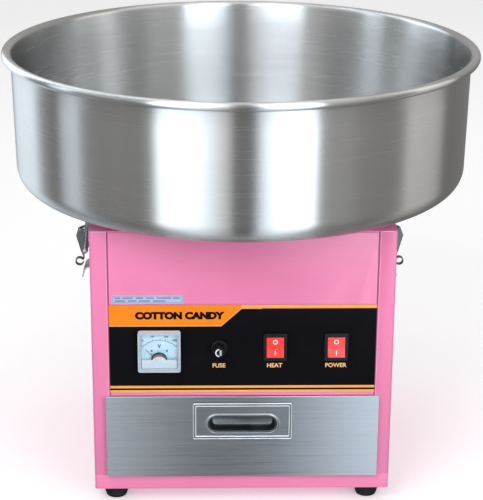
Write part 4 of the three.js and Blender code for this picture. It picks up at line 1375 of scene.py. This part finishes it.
def slip_rings():
    low, high = span("slip_ring_hub")
    profile = [(6.3, low), (18.6, low), (19, low + 0.4), (19, low + 4), (12, low + 4), (12, 215), (19, 215)]
    profile += [(19, 219), (12, 219), (12, high - 4), (19, high - 4), (19, high - 0.4), (18.6, high)]
    turned_piece("slip_ring_core", "slip_ring_hub", "spinner", "phenolic", [*profile, (6.3, high)])
    for level in ("lower", "upper"):
        node = "slip_ring_" + level
        low, high = span(node)
        profile = both_halves([(12.3, low), (15.7, low), (16, low + 0.3)], low, high)
        turned_piece("contact_ring_" + level, node, "spinner", "copper_alloy", profile)


def motor():
    """The finned motor casing and its shaft."""
    low, high = span("motor_body")
    bottom = low + 5
    profile = [(0, high), (39, high), (42, high - 1.5), (43, high - 5)]
    for i in range(9):
        z = high - 12 - 6.6 * i
        profile += [(43, z), (41.6, z - 0.6), (41.6, z - 2.6), (43, z - 3.2)]
    profile += [(43, bottom + 5), (42, bottom + 1.5), (39, bottom), (13, bottom), (12.4, low), (4.4, low)]
    profile += [(4.4, bottom + 25), (0, bottom + 25)]
    turned_piece("motor_casing", "motor_body", "cabinet", "motor_enamel", profile, MOTOR, 96, False)
    low, high = span("motor_shaft")
    profile = both_halves([(0, low), (3.5, low), (4, low + 0.5)], low, high)
    turned_piece("motor_spindle", "motor_shaft", "motor_rotor", "zinc_steel", profile, MOTOR, 48, False)


def belt():
    """A rubber belt round both pulleys."""
    low, high = span("drive_belt")
    lean = math.degrees(math.asin(15 / 95))

    def run(offset):
        driven = arc(*SPINDLE, 30 + offset, 180 - lean, 360 + lean, 40)
        return driven + arc(*MOTOR, 15 + offset, lean, 180 - lean, 24)

    bm = framed(bmesh.new(), run(4.4), run(0.6), low, high, "z")
    piece("ribbed_belt", bm, "cabinet", "black_rubber", ("drive_belt",), bevel=0.5, angle=50)


def gland():
    """The cable gland: hexagon, domed clamping nut with grip flats, inner lock nut and an open bore."""
    low, high = span("cable_gland", "y")
    centre = middle_of("cable_gland", "x", "z")
    y = HALF + 0.3
    profile = [(4.6, low), (8, low)]
    at = low + 1
    while at < HALF - 3:
        profile += [(8, at), (7.4, at + 0.5)]
        at += 1.0
    profile += [(8, HALF - 1.5), (8, y), (10.8, y), (10.8, y + 5.6), (8.6, y + 6), (8.6, y + 7)]
    profile += [(9.2, y + 7.3), (9, y + 13), *arc(6.6, y + 14.6, 2.4, 0, 60, 4), (6, high), (4.6, high)]
    bm = lathe(bmesh.new(), profile, 48, "y", centre, closed=True)
    hexagon, grip = (6, 12, 6, y, y + 5.4), (12, 9.9, 6, y + 7.4, y + 12.6)
    lock_nut = (6, 11, 6.5, HALF - 6.5, HALF - 1.8)
    for count, outer, inner, y0, y1 in (hexagon, grip, lock_nut):
        framed(bm, circle(*centre, outer, count), circle(*centre, inner, count), y0, y1)
    piece("gland_turned", bm, "cabinet", "black_plastic", ("cable_gland",), angle=30)


housing()
bearing("lower_bearing")
bearing("upper_bearing")
spindle()
pulley("driven_pulley", "spinner", SPINDLE, 6.3, 30)
pulley("motor_pulley", "motor_rotor", MOTOR, 4.3, 15)
slip_rings()
motor()
belt()
gland()

# ---------- final update

bpy.context.view_layer.update()
